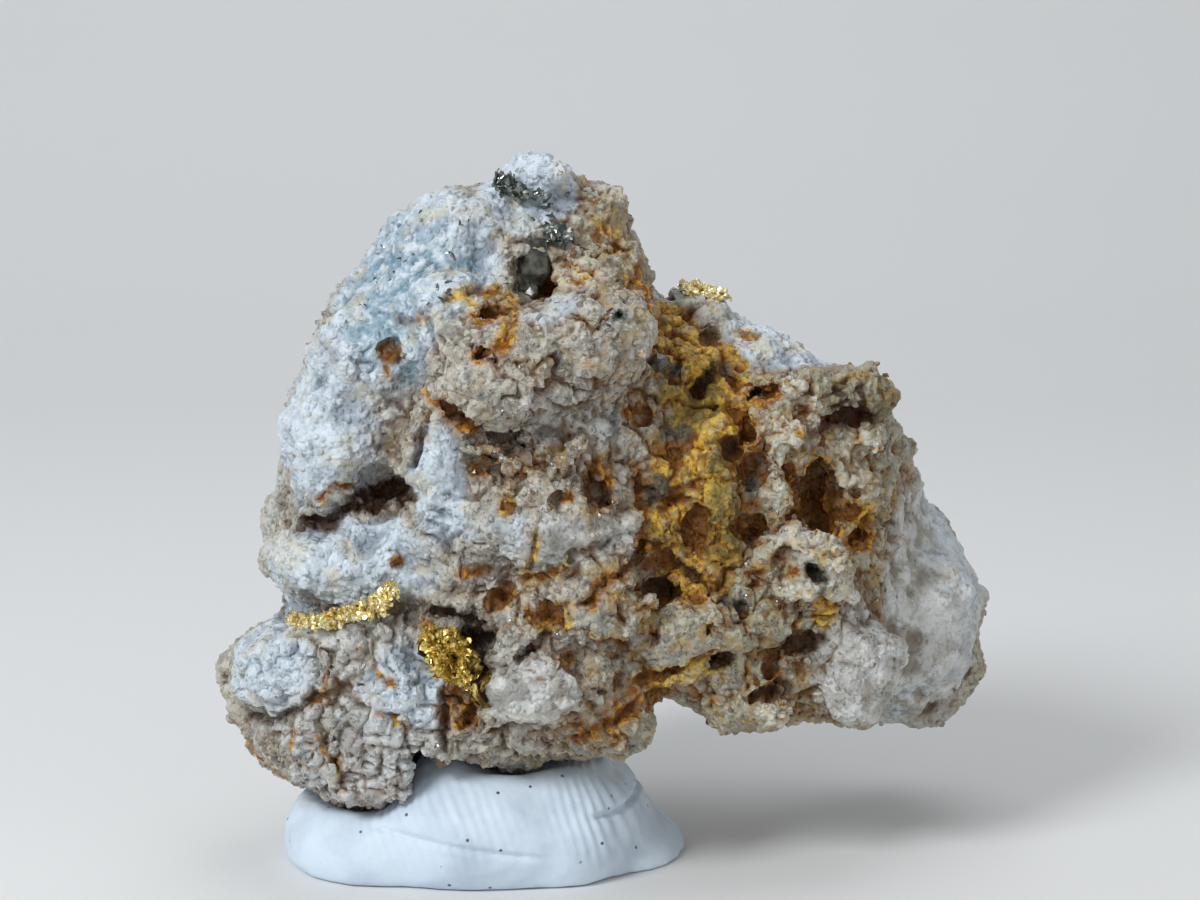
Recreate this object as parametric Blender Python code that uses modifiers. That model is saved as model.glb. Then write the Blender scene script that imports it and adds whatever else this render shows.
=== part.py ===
"""Gold on matrix: a lump of drusy, iron-stained quartz that carries crumpled native gold and
small dark metallic crystals, stood on the knob of white putty that holds it up.

Lengths below are in millimetres and MM turns them into Blender's metres. +X runs along the
specimen's length, -Y is the side that shows the gold, and +Z is up. The origin is at the middle
of the overall box, on the surface that the putty stands on.
"""

from math import radians
from typing import NamedTuple

import bmesh
import bpy
from mathutils import Vector

MM = 0.001

# Driving dimensions, in millimetres.
CLEARANCE = 0.3        # gap kept between two pieces
FUSE_GRID = 0.55       # grid that fuses the masses into one rock
SKIN_GRID = 0.5        # grid of the rock's finished surface
LUMP_SIZE = 3.2        # spacing of the rock's lumps
LUMP_HEIGHT = 1.1      # how far the lumps stand out
KNOB_SIZE = 1.6        # spacing of the knobs on the lumps
KNOB_HEIGHT = 0.9      # how far the knobs stand out
MOULD_GRID = 0.35      # grid of the copy of the rock that the other pieces are cut with
GOLD_GRID = 0.16       # grid that fuses the gold's leaves
PRISM_SHARE = 0.6      # how much of a crystal's length is prism, not point
POINT_SHARE = 0.25     # width of the point's end, as a share of the prism
CRUMPLE_SIZE = 0.7     # spacing of the gold's crumples
CRUMPLE_HEIGHT = 0.6   # how far the crumples stand out
PUTTY_GRID = 0.6       # grid of the putty's surface
DENT_SIZE = 5.0        # spacing of the putty's soft dents
DENT_HEIGHT = 0.5      # depth of the soft dents
BALL_DETAIL = 3        # subdivisions of the balls that forms are made from
CRYSTAL_SIDES = 6      # sides of a quartz crystal

# Shares of the fine surface's triangles that the faceted solids keep.
ROCK_KEEP = 0.155
GOLD_KEEP = 0.12
PUTTY_KEEP = 0.12


class Form(NamedTuple):
    """A rounded mass or hollow: its middle, its half lengths and its turn in degrees."""

    name: str
    middle: tuple
    half: tuple
    turn: tuple = (0, 0, 0)


class Crystal(NamedTuple):
    """A six-sided crystal: where its foot is, which way it points, its radius and its length."""

    name: str
    foot: tuple
    points: tuple
    radius: float
    length: float


# The blocks of quartz that make up the rock, each by its corners, front to back.
BLOCKS = {
    "left_block": [
        (-9.0, 0.5, 34.0), (-4.5, -0.5, 33.8), (-12.5, 1.5, 30.0), (-14.6, 2.0, 26.2),
        (-15.9, 2.5, 22.6), (-17.1, 3.0, 18.4), (-17.5, 2.5, 15.2), (-16.8, 2.5, 13.0),
        (-9.6, -4.5, 29.4), (-12.8, -4.2, 24.0), (-14.4, -4.0, 16.0), (-13.6, -4.5, 13.0),
        (-8.0, -5.8, 20.0), (-8.0, -6.2, 13.0), (-9.0, 8.5, 28.5), (-12.5, 8.5, 22.5),
        (-14.0, 9.0, 15.0), (-5.0, 11.5, 20.0), (-4.0, 7.5, 30.5), (-8.0, 10.0, 12.0),
    ],
    "centre_block": [
        (-4.4, -0.5, 34.4), (-2.2, 0.0, 34.5), (1.0, 0.5, 33.5), (1.2, 1.0, 31.2),
        (2.6, 2.0, 29.2), (-6.0, -5.5, 28.6), (-1.0, -5.8, 28.8), (2.4, -3.6, 27.6),
        (-7.6, -7.2, 22.0), (-2.5, -7.6, 21.0), (1.2, -6.6, 18.0), (-8.4, -7.4, 12.0),
        (-8.0, -6.6, 6.0), (-2.0, -7.0, 8.0), (2.4, -5.8, 9.0), (0.6, -3.6, 6.2),
        (-5.0, -3.0, 4.8), (-5.0, 8.5, 8.5), (2.0, 8.5, 9.0), (-3.0, 9.5, 28.0),
        (3.0, 8.5, 26.5), (0.0, 11.5, 18.0),
    ],
    "right_block": [
        (-1.0, -3.6, 26.8), (3.6, 3.0, 28.2), (7.2, 4.5, 26.8), (10.2, 3.0, 25.0),
        (13.2, 1.5, 24.8), (14.9, 2.5, 22.8), (15.2, 3.5, 19.6), (17.2, 6.0, 16.8),
        (8.8, -3.4, 22.4), (12.6, -1.8, 21.4), (11.2, -4.6, 13.0), (6.0, -5.8, 12.0),
        (-1.0, -5.6, 12.0), (13.8, -2.6, 10.0), (5.8, -3.8, 8.2), (10.0, -2.0, 7.0),
        (14.8, 0.0, 6.8), (6.0, 11.0, 22.0), (13.0, 11.5, 18.0), (13.0, 11.5, 9.0),
        (3.5, 10.5, 10.0), (-1.0, 2.0, 9.5),
    ],
    "right_lobe": [
        (17.5, 6.0, 16.8), (19.2, 6.0, 14.2), (20.4, 7.0, 10.6), (20.3, 6.0, 7.4),
        (18.0, 4.5, 4.9), (13.5, 3.0, 5.4), (14.0, 1.0, 12.0), (15.4, 3.0, 17.8),
        (17.6, 12.0, 14.6), (19.4, 12.5, 9.6), (16.8, 12.0, 5.6), (12.0, 12.5, 7.4),
        (12.0, 12.0, 16.0),
    ],
    "left_lobe": [
        (-17.3, 1.0, 12.0), (-19.2, 1.0, 10.4), (-19.6, 1.0, 9.0), (-18.9, 1.0, 6.6),
        (-17.5, 0.0, 4.6), (-14.8, -1.0, 2.9), (-14.6, -5.6, 11.2), (-15.6, -5.2, 7.0),
        (-12.6, -6.0, 5.0), (-10.0, -6.8, 9.5), (-9.6, -6.0, 4.4), (-12.0, -3.0, 3.0),
        (-15.6, 6.5, 9.6), (-13.0, 7.5, 5.8), (-8.6, 6.0, 5.0), (-8.0, 7.0, 12.0),
    ],
}

# The lumps that stand out of the blocks.
LUMPS = [
    Form("summit_knob", (-2.8, 0.2, 34.0), (1.9, 2.2, 1.8)),
    Form("summit_left", (-5.6, 0.2, 32.6), (2.2, 3.0, 1.6)),
    Form("summit_right", (0.1, 0.4, 32.6), (1.5, 2.4, 1.7)),
    Form("shoulder", (-8.0, 0.0, 31.7), (2.8, 3.2, 2.0), (0, -20, 0)),
    Form("boss", (-4.7, -6.6, 25.8), (3.6, 3.0, 3.0)),
    Form("boss_right", (-0.4, -5.4, 27.2), (3.0, 2.8, 2.8)),
    Form("boss_left", (-7.6, -4.4, 28.2), (2.0, 2.4, 2.2)),
    Form("flank", (-11.2, -2.2, 25.4), (3.2, 2.8, 3.8)),
    Form("flank_foot", (-12.4, -2.8, 22.0), (3.6, 2.8, 2.4)),
    Form("prow", (-8.0, -6.5, 20.6), (1.5, 1.8, 3.8)),
    Form("shelf", (-13.6, -3.0, 16.0), (3.6, 3.2, 2.0)),
    Form("plate", (-11.0, -5.0, 15.8), (1.9, 1.5, 1.0), (0, 15, 0)),
    Form("waist", (-3.4, -7.4, 18.8), (3.4, 1.8, 2.6)),
    Form("hip", (-1.0, -6.8, 14.6), (3.2, 1.8, 2.6)),
    Form("knee", (-3.6, -7.2, 10.8), (2.6, 1.6, 2.6)),
    Form("lobe_top", (-15.4, -2.4, 10.2), (2.8, 3.2, 2.2)),
    Form("lobe_foot", (-13.0, -4.4, 6.6), (2.8, 2.2, 2.2)),
    Form("lobe_inner", (-10.4, -5.8, 8.8), (1.9, 1.8, 2.8)),
    Form("waist_left", (-10.6, -4.4, 12.4), (2.2, 2.2, 2.4)),
    Form("seam_floor", (-13.2, -3.6, 12.0), (2.6, 2.4, 1.8)),
    Form("keel", (-0.4, -4.6, 8.4), (3.2, 2.6, 2.0)),
    Form("foot", (7.2, -2.8, 9.4), (3.2, 3.0, 2.4)),
    Form("foot_right", (12.4, -1.8, 10.0), (2.8, 3.0, 2.8)),
    Form("sill", (4.4, -5.2, 12.4), (3.0, 1.8, 1.9)),
    Form("pillar", (5.6, -4.0, 19.0), (0.8, 1.8, 4.6), (0, -4, 0)),
    Form("chain_top", (10.0, -2.0, 24.0), (1.4, 1.8, 1.3)),
    Form("chain_middle", (8.4, -3.0, 22.0), (1.2, 1.8, 1.3)),
    Form("eye_lump", (10.6, -4.2, 15.6), (1.9, 1.6, 1.9)),
    Form("crown", (12.9, 0.4, 23.4), (2.2, 2.6, 1.8)),
    Form("crown_foot", (12.8, -0.2, 18.8), (1.7, 2.0, 2.2)),
    Form("lobe_side", (16.8, 4.6, 11.0), (2.8, 3.6, 4.6)),
    Form("gold_perch", (5.4, 4.0, 26.8), (2.2, 1.8, 1.4)),
    Form("back_left", (-8.0, 8.6, 21.0), (5.0, 3.0, 5.5)),
    Form("back_middle", (1.5, 10.0, 15.0), (5.0, 3.2, 5.0)),
    Form("back_right", (9.5, 10.0, 16.5), (4.4, 3.2, 4.6)),
    Form("back_foot", (-6.5, 8.6, 11.0), (4.6, 2.8, 3.6)),
]

# The vugs, clefts and notches cut out of them.
HOLLOWS = [
    Form("overhang_cleft", (-10.8, -5.8, 19.4), (2.6, 3.8, 1.4), (0, -14, 0)),
    Form("overhang_tail", (-13.4, -4.6, 18.0), (1.8, 2.6, 0.8), (0, -14, 0)),
    Form("seam_cleft", (-13.4, -6.6, 13.6), (2.8, 2.2, 0.6), (0, -12, 0)),
    Form("gold_cavity", (-7.0, -8.6, 11.9), (2.5, 2.6, 2.0), (0, 35, 0)),
    Form("summit_vug", (-3.0, -4.6, 30.2), (1.2, 2.6, 1.4), (0, 25, 0)),
    Form("shoulder_pocket", (-9.9, -5.2, 26.5), (0.9, 1.8, 0.9)),
    Form("boss_slit", (-5.1, -8.0, 28.8), (1.4, 2.0, 0.6)),
    Form("boss_pocket", (-6.6, -9.0, 23.8), (1.1, 1.6, 0.7), (0, 30, 0)),
    Form("boss_shadow", (-3.6, -9.6, 22.4), (2.4, 1.6, 0.8), (0, 20, 0)),
    Form("recess_top", (4.6, -5.0, 24.8), (2.2, 2.2, 2.4), (0, 20, 0)),
    Form("recess_left", (3.4, -7.2, 19.8), (1.7, 2.8, 3.4), (0, 10, 0)),
    Form("recess_low", (4.2, -8.0, 16.2), (1.4, 2.4, 1.4)),
    Form("recess_right", (7.6, -6.2, 17.8), (1.2, 2.8, 2.8)),
    Form("recess_mouth", (0.2, -8.8, 20.4), (0.9, 2.6, 1.3)),
    Form("dark_hollow", (11.0, -4.6, 19.2), (1.3, 2.8, 2.3), (0, 12, 0)),
    Form("crown_pocket", (12.6, -2.6, 23.8), (1.0, 1.2, 0.9)),
    Form("ridge_hole", (5.3, -2.2, 26.8), (0.8, 2.2, 0.7)),
    Form("eye", (10.2, -6.2, 15.6), (0.5, 1.0, 0.5)),
    Form("ochre_pit", (-2.5, -9.4, 14.3), (1.2, 1.6, 0.8)),
    Form("lobe_crevice", (-13.6, -6.6, 9.0), (1.9, 1.6, 0.5), (0, -14, 0)),
    Form("foot_notch", (3.9, -1.0, 6.6), (1.0, 9.0, 1.5)),
    Form("foot_gap", (8.9, -1.0, 5.6), (0.8, 8.0, 1.1)),
    Form("foot_hollow", (6.0, -6.4, 11.0), (1.0, 1.4, 0.8)),
]

# Single crystals large enough to read as such.
CRYSTALS = [
    Crystal("summit_crystal", (-2.7, -0.1, 33.6), (0.25, -0.4, 1.0), 1.3, 2.1),
    Crystal("vug_crystal", (-3.4, -1.4, 31.3), (0.15, -1.0, -0.2), 1.0, 2.2),
    Crystal("plate_crystal", (-11.3, -4.4, 15.5), (-0.3, -1.0, 0.4), 1.3, 1.9),
    Crystal("lobe_crystal", (-17.4, -2.2, 9.0), (-0.8, -0.8, 0.3), 1.0, 1.3),
]

# The gold: leaves that crumple into one another.
SEAM_LEAVES = [
    Form("seam_tail", (-14.5, -5.0, 13.1), (0.9, 1.0, 0.4), (0, -8, 0)),
    Form("seam_left", (-13.2, -5.6, 13.3), (1.0, 1.2, 0.55), (0, 4, 0)),
    Form("seam_middle", (-12.0, -6.1, 13.8), (1.0, 1.2, 0.6), (0, -22, 0)),
    Form("seam_right", (-10.9, -6.5, 14.3), (0.9, 1.2, 0.65), (0, -32, 0)),
    Form("seam_tip", (-10.2, -6.7, 15.0), (0.45, 0.8, 0.8), (0, 15, 0)),
]
CLUSTER_LEAVES = [
    Form("cluster_top", (-7.7, -7.6, 12.8), (1.1, 1.3, 0.8), (0, 10, 0)),
    Form("cluster_body", (-7.3, -7.7, 12.1), (1.3, 1.5, 1.0), (0, 25, 0)),
    Form("cluster_low", (-6.5, -7.9, 11.3), (1.2, 1.3, 0.65), (0, 25, 0)),
    Form("cluster_tail", (-5.3, -8.1, 10.8), (1.1, 0.9, 0.4), (0, 16, 0)),
]
RIM_LEAVES = [
    Form("rim_left", (4.9, 3.6, 28.4), (1.0, 1.1, 0.55), (0, 8, 0)),
    Form("rim_right", (5.9, 3.8, 28.1), (0.9, 1.0, 0.55), (0, 20, 0)),
]

# The dark metallic crystals.
SUMMIT_SULPHIDE = [
    Form("sulphide_a", (-4.6, -1.8, 34.3), (0.9, 0.8, 0.6), (20, 15, 10)),
    Form("sulphide_b", (-3.7, -2.2, 33.8), (0.7, 0.7, 0.6), (40, 0, 35)),
]
FAN_SULPHIDE = [
    Form("sulphide_c", (-2.0, -3.2, 31.9), (0.9, 0.9, 0.6), (10, 25, 20)),
]

# The knob of putty under the rock, before the rock is pressed into it.
PUTTY_LUMPS = [
    Form("putty_body", (-5.8, 0.0, 1.8), (8.4, 7.4, 5.2)),
    Form("putty_left", (-10.8, -0.6, 1.0), (5.4, 6.0, 3.8)),
    Form("putty_right", (-1.8, -1.2, 1.6), (3.8, 5.6, 4.4), (0, 24, 0)),
    Form("putty_lower_lobe", (1.2, 0.8, -1.0), (3.6, 5.4, 3.0)),
]


def clear_scene():
    for old in list(bpy.data.objects):
        bpy.data.objects.remove(old)


def collection(name, shown=True):
    """A new collection in the scene. The hidden one holds the cutters."""
    made = bpy.data.collections.new(name)
    bpy.context.scene.collection.children.link(made)
    made.hide_render = not shown
    return made


def move_to(obj, home):
    for held in list(obj.users_collection):
        held.objects.unlink(obj)
    home.objects.link(obj)


# Materials


def material(name, colour, roughness, metallic=0.0):
    made = bpy.data.materials.new(name)
    made.use_nodes = True
    shader = made.node_tree.nodes["Principled BSDF"]
    shader.inputs["Base Color"].default_value = (*colour, 1)
    shader.inputs["Roughness"].default_value = roughness
    shader.inputs["Metallic"].default_value = metallic
    return made


def quartz():
    return material("quartz", (0.62, 0.60, 0.60), 0.5)


def gold():
    return material("native_gold", (1.0, 0.70, 0.20), 0.3, metallic=1.0)


def sulphide():
    return material("grey_sulphide", (0.20, 0.21, 0.19), 0.35, metallic=1.0)


def putty_white():
    return material("white_putty", (0.80, 0.83, 0.86), 0.7)


# Shapes


def ellipsoid(form, home):
    """One rounded form, with its place, turn and size applied to its mesh."""
    bpy.ops.mesh.primitive_ico_sphere_add(
        subdivisions=BALL_DETAIL,
        radius=1,
        location=Vector(form.middle) * MM,
        rotation=[radians(a) for a in form.turn],
        scale=Vector(form.half) * MM,
    )
    made = bpy.context.object
    made.name = form.name
    bpy.ops.object.transform_apply(location=True, rotation=True, scale=True)
    move_to(made, home)
    return made


def block(name, corners, home):
    """The smallest solid with flat sides that holds all the corners."""
    shape = bmesh.new()
    for corner in corners:
        shape.verts.new(Vector(corner) * MM)
    bmesh.ops.convex_hull(shape, input=shape.verts)
    bmesh.ops.recalc_face_normals(shape, faces=shape.faces)
    mesh = bpy.data.meshes.new(name)
    shape.to_mesh(mesh)
    shape.free()
    made = bpy.data.objects.new(name, mesh)
    home.objects.link(made)
    return made


def crystal(form, home):
    """A six-sided crystal: a prism, and a point on it that stops at a small end face."""
    way = Vector(form.points).normalized()
    turn = way.to_track_quat("Z", "Y").to_euler()
    prism_end = form.length * PRISM_SHARE
    bpy.ops.mesh.primitive_cylinder_add(
        vertices=CRYSTAL_SIDES,
        radius=form.radius * MM,
        depth=2 * prism_end * MM,
        location=Vector(form.foot) * MM,
        rotation=turn,
    )
    prism = bpy.context.object
    bpy.ops.object.mode_set(mode="EDIT")
    bpy.ops.mesh.select_all(action="DESELECT")
    bpy.ops.object.mode_set(mode="OBJECT")
    top = max(prism.data.polygons, key=lambda face: face.center.z)
    top.select = True
    bpy.ops.object.mode_set(mode="EDIT")
    bpy.ops.mesh.extrude_region_shrink_fatten(
        TRANSFORM_OT_shrink_fatten={"value": (form.length - prism_end) * MM},
    )
    bpy.ops.transform.resize(value=(POINT_SHARE, POINT_SHARE, POINT_SHARE))
    bpy.ops.object.mode_set(mode="OBJECT")
    move_to(prism, home)
    return joined([prism], form.name)


def joined(objects, name):
    """Several objects as one mesh, with its transforms applied."""
    with bpy.context.temp_override(
        active_object=objects[0],
        object=objects[0],
        selected_objects=objects,
        selected_editable_objects=objects,
    ):
        bpy.ops.object.join()
    whole = objects[0]
    with bpy.context.temp_override(
        active_object=whole,
        object=whole,
        selected_objects=[whole],
        selected_editable_objects=[whole],
    ):
        bpy.ops.object.transform_apply(location=True, rotation=True, scale=True)
    whole.name = name
    return whole


# Modifiers


def applied(obj):
    """Applies the modifiers in their order."""
    with bpy.context.temp_override(object=obj, active_object=obj, selected_objects=[obj]):
        for modifier in list(obj.modifiers):
            bpy.ops.object.modifier_apply(modifier=modifier.name)
    return obj


def fuse(obj, grid):
    made = obj.modifiers.new("fuse", "REMESH")
    made.mode = "VOXEL"
    made.voxel_size = grid * MM


def cut(obj, other, operation="DIFFERENCE"):
    made = obj.modifiers.new(other.name, "BOOLEAN")
    made.object = other
    made.operation = operation
    made.solver = "EXACT"


def hide_as_cutter(obj):
    obj.hide_render = True
    obj.display_type = "WIRE"
    return obj


def roughen(obj, kind, size, height):
    """Moves the surface out by a noise of that spacing and height."""
    noise = bpy.data.textures.new(f"{obj.name}_{kind.lower()}_{size}", kind)
    noise.noise_scale = size * MM
    made = obj.modifiers.new(noise.name, "DISPLACE")
    made.texture = noise
    made.texture_coords = "LOCAL"
    made.strength = height * MM
    made.mid_level = 0.5


def facet(obj, keep):
    made = obj.modifiers.new("facets", "DECIMATE")
    made.ratio = keep


def largest_body(obj):
    """Keeps the largest of the closed bodies in a mesh and removes the crumbs."""
    shape = bmesh.new()
    shape.from_mesh(obj.data)
    left = set(shape.verts)
    bodies = []
    while left:
        body = set()
        front = {left.pop()}
        while front:
            vertex = front.pop()
            body.add(vertex)
            near = {edge.other_vert(vertex) for edge in vertex.link_edges}
            front |= near - body
        left -= body
        bodies.append(body)
    bodies.sort(key=len)
    crumbs = [vertex for body in bodies[:-1] for vertex in body]
    bmesh.ops.delete(shape, geom=crumbs, context="VERTS")
    shape.to_mesh(obj.data)
    shape.free()
    return obj


def swollen_copy(obj, name, margin, home):
    """A cutter of the same form, larger by the margin on every side."""
    made = bpy.data.objects.new(name, obj.data.copy())
    home.objects.link(made)
    swell = made.modifiers.new("margin", "DISPLACE")
    swell.strength = margin * MM
    swell.mid_level = 0
    fuse(made, MOULD_GRID)
    return hide_as_cutter(applied(made))


# Pieces


def build_matrix(parts, cutters):
    """The rock: blocks and lumps fused, hollows cut, then roughened and faceted."""
    blocks = [block(name, corners, parts) for name, corners in BLOCKS.items()]
    lumps = [ellipsoid(form, parts) for form in LUMPS]
    rock = joined(blocks + lumps, "matrix")
    fuse(rock, FUSE_GRID)
    hollows = [ellipsoid(form, cutters) for form in HOLLOWS]
    hollow = joined(hollows, "hollows")
    fuse(hollow, FUSE_GRID / 2)
    cut(rock, hide_as_cutter(applied(hollow)))
    roughen(rock, "CLOUDS", LUMP_SIZE, LUMP_HEIGHT)
    roughen(rock, "VORONOI", KNOB_SIZE, -KNOB_HEIGHT)
    fuse(rock, SKIN_GRID)
    facet(rock, ROCK_KEEP)
    for form in CRYSTALS:
        cut(rock, hide_as_cutter(crystal(form, cutters)), operation="UNION")
    rock.data.materials.append(quartz())
    return largest_body(applied(rock))


def build_leaves(name, leaves, finish, rock_mould, parts):
    """Crumpled leaves of metal, fused and cut to sit on the rock."""
    piece = joined([ellipsoid(form, parts) for form in leaves], name)
    fuse(piece, GOLD_GRID)
    roughen(piece, "VORONOI", CRUMPLE_SIZE, CRUMPLE_HEIGHT)
    fuse(piece, GOLD_GRID)
    cut(piece, rock_mould)
    fuse(piece, GOLD_GRID)
    facet(piece, GOLD_KEEP)
    piece.data.materials.append(finish)
    return largest_body(applied(piece))


def build_putty(rock_mould, parts):
    """The knob of putty: lumps fused, cut level below and hollowed where the rock presses in."""
    knob = joined([ellipsoid(form, parts) for form in PUTTY_LUMPS], "putty")
    fuse(knob, PUTTY_GRID)
    roughen(knob, "CLOUDS", DENT_SIZE, DENT_HEIGHT)
    cut(knob, rock_mould)
    fuse(knob, PUTTY_GRID)
    facet(knob, PUTTY_KEEP)
    knob.data.materials.append(putty_white())
    return level(largest_body(applied(knob)))


def level(obj):
    """Cuts the object flat at height zero and closes the cut."""
    shape = bmesh.new()
    shape.from_mesh(obj.data)
    everything = shape.verts[:] + shape.edges[:] + shape.faces[:]
    made = bmesh.ops.bisect_plane(
        shape,
        geom=everything,
        plane_co=(0, 0, 0),
        plane_no=(0, 0, -1),
        clear_outer=True,
    )
    rim = [e for e in made["geom_cut"] if isinstance(e, bmesh.types.BMEdge)]
    bmesh.ops.edgeloop_fill(shape, edges=rim)
    bmesh.ops.triangulate(shape, faces=shape.faces)
    shape.to_mesh(obj.data)
    shape.free()
    return obj


def recentre(parts, cutters):
    """Puts the middle of the overall footprint at the origin."""
    points = [v.co for obj in parts.objects for v in obj.data.vertices]
    low = Vector([min(p[axis] for p in points) for axis in range(3)])
    high = Vector([max(p[axis] for p in points) for axis in range(3)])
    middle = (low + high) / 2
    for obj in [*parts.objects, *cutters.objects]:
        for vertex in obj.data.vertices:
            vertex.co.x -= middle.x
            vertex.co.y -= middle.y
            vertex.co.z -= low.z


def build():
    clear_scene()
    parts = collection("gold_on_matrix")
    cutters = collection("cutters", shown=False)
    rock = build_matrix(parts, cutters)
    rock_mould = swollen_copy(rock, "rock_mould", CLEARANCE, cutters)
    native_gold = gold()
    build_leaves("gold_seam", SEAM_LEAVES, native_gold, rock_mould, parts)
    build_leaves("gold_cluster", CLUSTER_LEAVES, native_gold, rock_mould, parts)
    build_leaves("gold_rim", RIM_LEAVES, native_gold, rock_mould, parts)
    grey = sulphide()
    build_leaves("sulphide_summit", SUMMIT_SULPHIDE, grey, rock_mould, parts)
    build_leaves("sulphide_fan", FAN_SULPHIDE, grey, rock_mould, parts)
    build_putty(rock_mould, parts)
    recentre(parts, cutters)


build()
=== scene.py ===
"""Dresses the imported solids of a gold-on-quartz specimen and sets the studio round it.

Lengths are in millimetres until a mesh is written, and MM turns them into metres. Places are
given from the specimen's own middle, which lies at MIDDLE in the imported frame.
"""

from __future__ import annotations

import logging
import math
import sys
from dataclasses import dataclass, field
from enum import Enum
from functools import cache, cached_property
from typing import Sequence

import bpy
import numpy as np
from bpy.types import Material, NodeSocket, Object
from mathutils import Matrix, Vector

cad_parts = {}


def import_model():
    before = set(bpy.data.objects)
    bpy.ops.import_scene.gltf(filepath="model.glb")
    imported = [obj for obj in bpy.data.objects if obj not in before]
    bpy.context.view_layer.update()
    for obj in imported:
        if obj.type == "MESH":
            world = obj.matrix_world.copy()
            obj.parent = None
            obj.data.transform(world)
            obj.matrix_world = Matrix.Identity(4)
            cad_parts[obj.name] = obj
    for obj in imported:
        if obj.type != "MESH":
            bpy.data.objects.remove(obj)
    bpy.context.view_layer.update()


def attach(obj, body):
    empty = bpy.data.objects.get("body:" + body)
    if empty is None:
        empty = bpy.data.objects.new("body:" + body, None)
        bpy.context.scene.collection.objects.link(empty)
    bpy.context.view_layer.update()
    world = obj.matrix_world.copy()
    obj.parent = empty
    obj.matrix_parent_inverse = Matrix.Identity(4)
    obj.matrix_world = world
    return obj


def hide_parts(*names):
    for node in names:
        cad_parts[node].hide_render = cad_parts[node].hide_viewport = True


LOG = logging.getLogger("gold_on_matrix")
MM = 0.001
MIDDLE = np.array([-0.45, -1.83, 0.0])
HASH_STEPS = (73856093, 19349663, 83492791)
SALT_STEP = 2654435761
MIX_STEP = 0x45D9F3B
WORD = 0xFFFFFFFF
OCTAVE_SHIFT = 31.7
QUARTZ_IOR = 1.54

Triple = tuple[float, float, float]
Points = np.ndarray


# ------------ fields


def hashed(cells: np.ndarray, salt: int) -> np.ndarray:
    """Gives each whole-number cell its own random value.

    Args:
        cells: Whole-number coordinates, with three in the last axis.
        salt: Picks one of many independent sets of values.

    Returns:
        Values from 0 to 1, one for each cell.
    """
    whole = cells.astype(np.int64)
    mixed = np.int64(salt * SALT_STEP)
    for axis, step in enumerate(HASH_STEPS):
        mixed = mixed ^ (whole[..., axis] * step)
    mixed &= WORD
    for _ in range(2):
        mixed = ((mixed ^ (mixed >> 16)) * MIX_STEP) & WORD
    return (mixed ^ (mixed >> 16)) / (WORD + 1.0)


def smooth(value: np.ndarray, low: float, high: float) -> np.ndarray:
    """Rises smoothly from 0 where value is low to 1 where it is high."""
    part = np.clip((value - low) / (high - low), 0.0, 1.0)
    return part * part * (3.0 - 2.0 * part)


def wave(points: Points, size: float, salt: int, octaves: int = 1) -> np.ndarray:
    """Smooth random hills.

    Args:
        points: Places in millimetres.
        size: Spacing of the largest hills.
        salt: Picks the set of hills.
        octaves: How many finer sets, each half as high, are added.

    Returns:
        Heights from about -1 to 1.
    """
    total = np.zeros(len(points))
    reach = 0.0
    for octave in range(octaves):
        scaled = points / (size * 0.5**octave) + OCTAVE_SHIFT * octave
        corner = np.floor(scaled)
        part = scaled - corner
        part = part * part * (3.0 - 2.0 * part)
        level = np.zeros(len(points))
        for step in np.ndindex(2, 2, 2):
            share = np.prod(np.where(step, part, 1.0 - part), axis=1)
            level += share * hashed(corner + step, salt + octave)
        total += (2.0 * level - 1.0) * 0.5**octave
        reach += 0.5**octave
    return total / reach


def drift(points: Points, size: float, salt: int, octaves: int = 2, apart: int = 5) -> np.ndarray:
    """Smooth random hills along each of the three axes."""
    hills = [wave(points, size, salt + apart * axis, octaves) for axis in range(3)]
    return np.stack(hills, axis=1)


@dataclass(frozen=True)
class CellReading:
    """What a set of points finds in a field of cells."""

    edge: np.ndarray
    offset: np.ndarray
    chance: np.ndarray

    def tops(self, step: float, slant: float, groove: float, width: float, level: float) -> np.ndarray:
        """Works out the heights of grains with slanted tops and grooves between them.

        Args:
            step: How far the grains' heights differ, in millimetres.
            slant: How steep their tops are.
            groove: How deep the grooves are, in millimetres.
            width: How wide each side of a groove is, in millimetres.
            level: What share of a groove's depth the tops stay under.

        Returns:
            Heights in millimetres.
        """
        lean = np.einsum("ij,ij->i", self.offset, self.chance[:, 1:] - 0.5)
        high = (self.chance[:, 0] - 0.5) * step + slant * lean
        return high + groove * (smooth(self.edge, 0.0, width) - level)


@dataclass(frozen=True)
class CellField:
    """Space filled with irregular flat-walled cells, as grains of quartz fill a rock."""

    size: float
    salt: int
    stray: float = 0.92

    def read(self, points: Points) -> CellReading:
        """Finds the cell that holds each point.

        Args:
            points: Places in millimetres.

        Returns:
            The distance to the cell's wall, the place in the cell, and the cell's own chances.
        """
        scaled = points / self.size
        home = np.floor(scaled)
        near = np.full(len(points), np.inf)
        second = np.full(len(points), np.inf)
        seed = np.zeros_like(scaled)
        other = np.zeros_like(scaled)
        owner = np.zeros_like(scaled)
        for step in np.ndindex(3, 3, 3):
            cell = home + step - 1.0
            lean = np.stack([hashed(cell, self.salt + axis) for axis in range(3)], axis=1)
            spot = cell + 0.5 + (lean - 0.5) * self.stray
            gap = np.linalg.norm(spot - scaled, axis=1)
            first = gap < near
            middle = ~first & (gap < second)
            second = np.where(first, near, np.where(middle, gap, second))
            other = np.where(first[:, None], seed, np.where(middle[:, None], spot, other))
            near = np.where(first, gap, near)
            seed = np.where(first[:, None], spot, seed)
            owner = np.where(first[:, None], cell, owner)
        apart = np.maximum(np.linalg.norm(other - seed, axis=1), 1e-6)
        edge = (second**2 - near**2) / (2.0 * apart) * self.size
        chance = np.stack([hashed(owner, self.salt + 10 + axis) for axis in range(4)], axis=1)
        return CellReading(edge, (scaled - seed) * self.size, chance)


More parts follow.
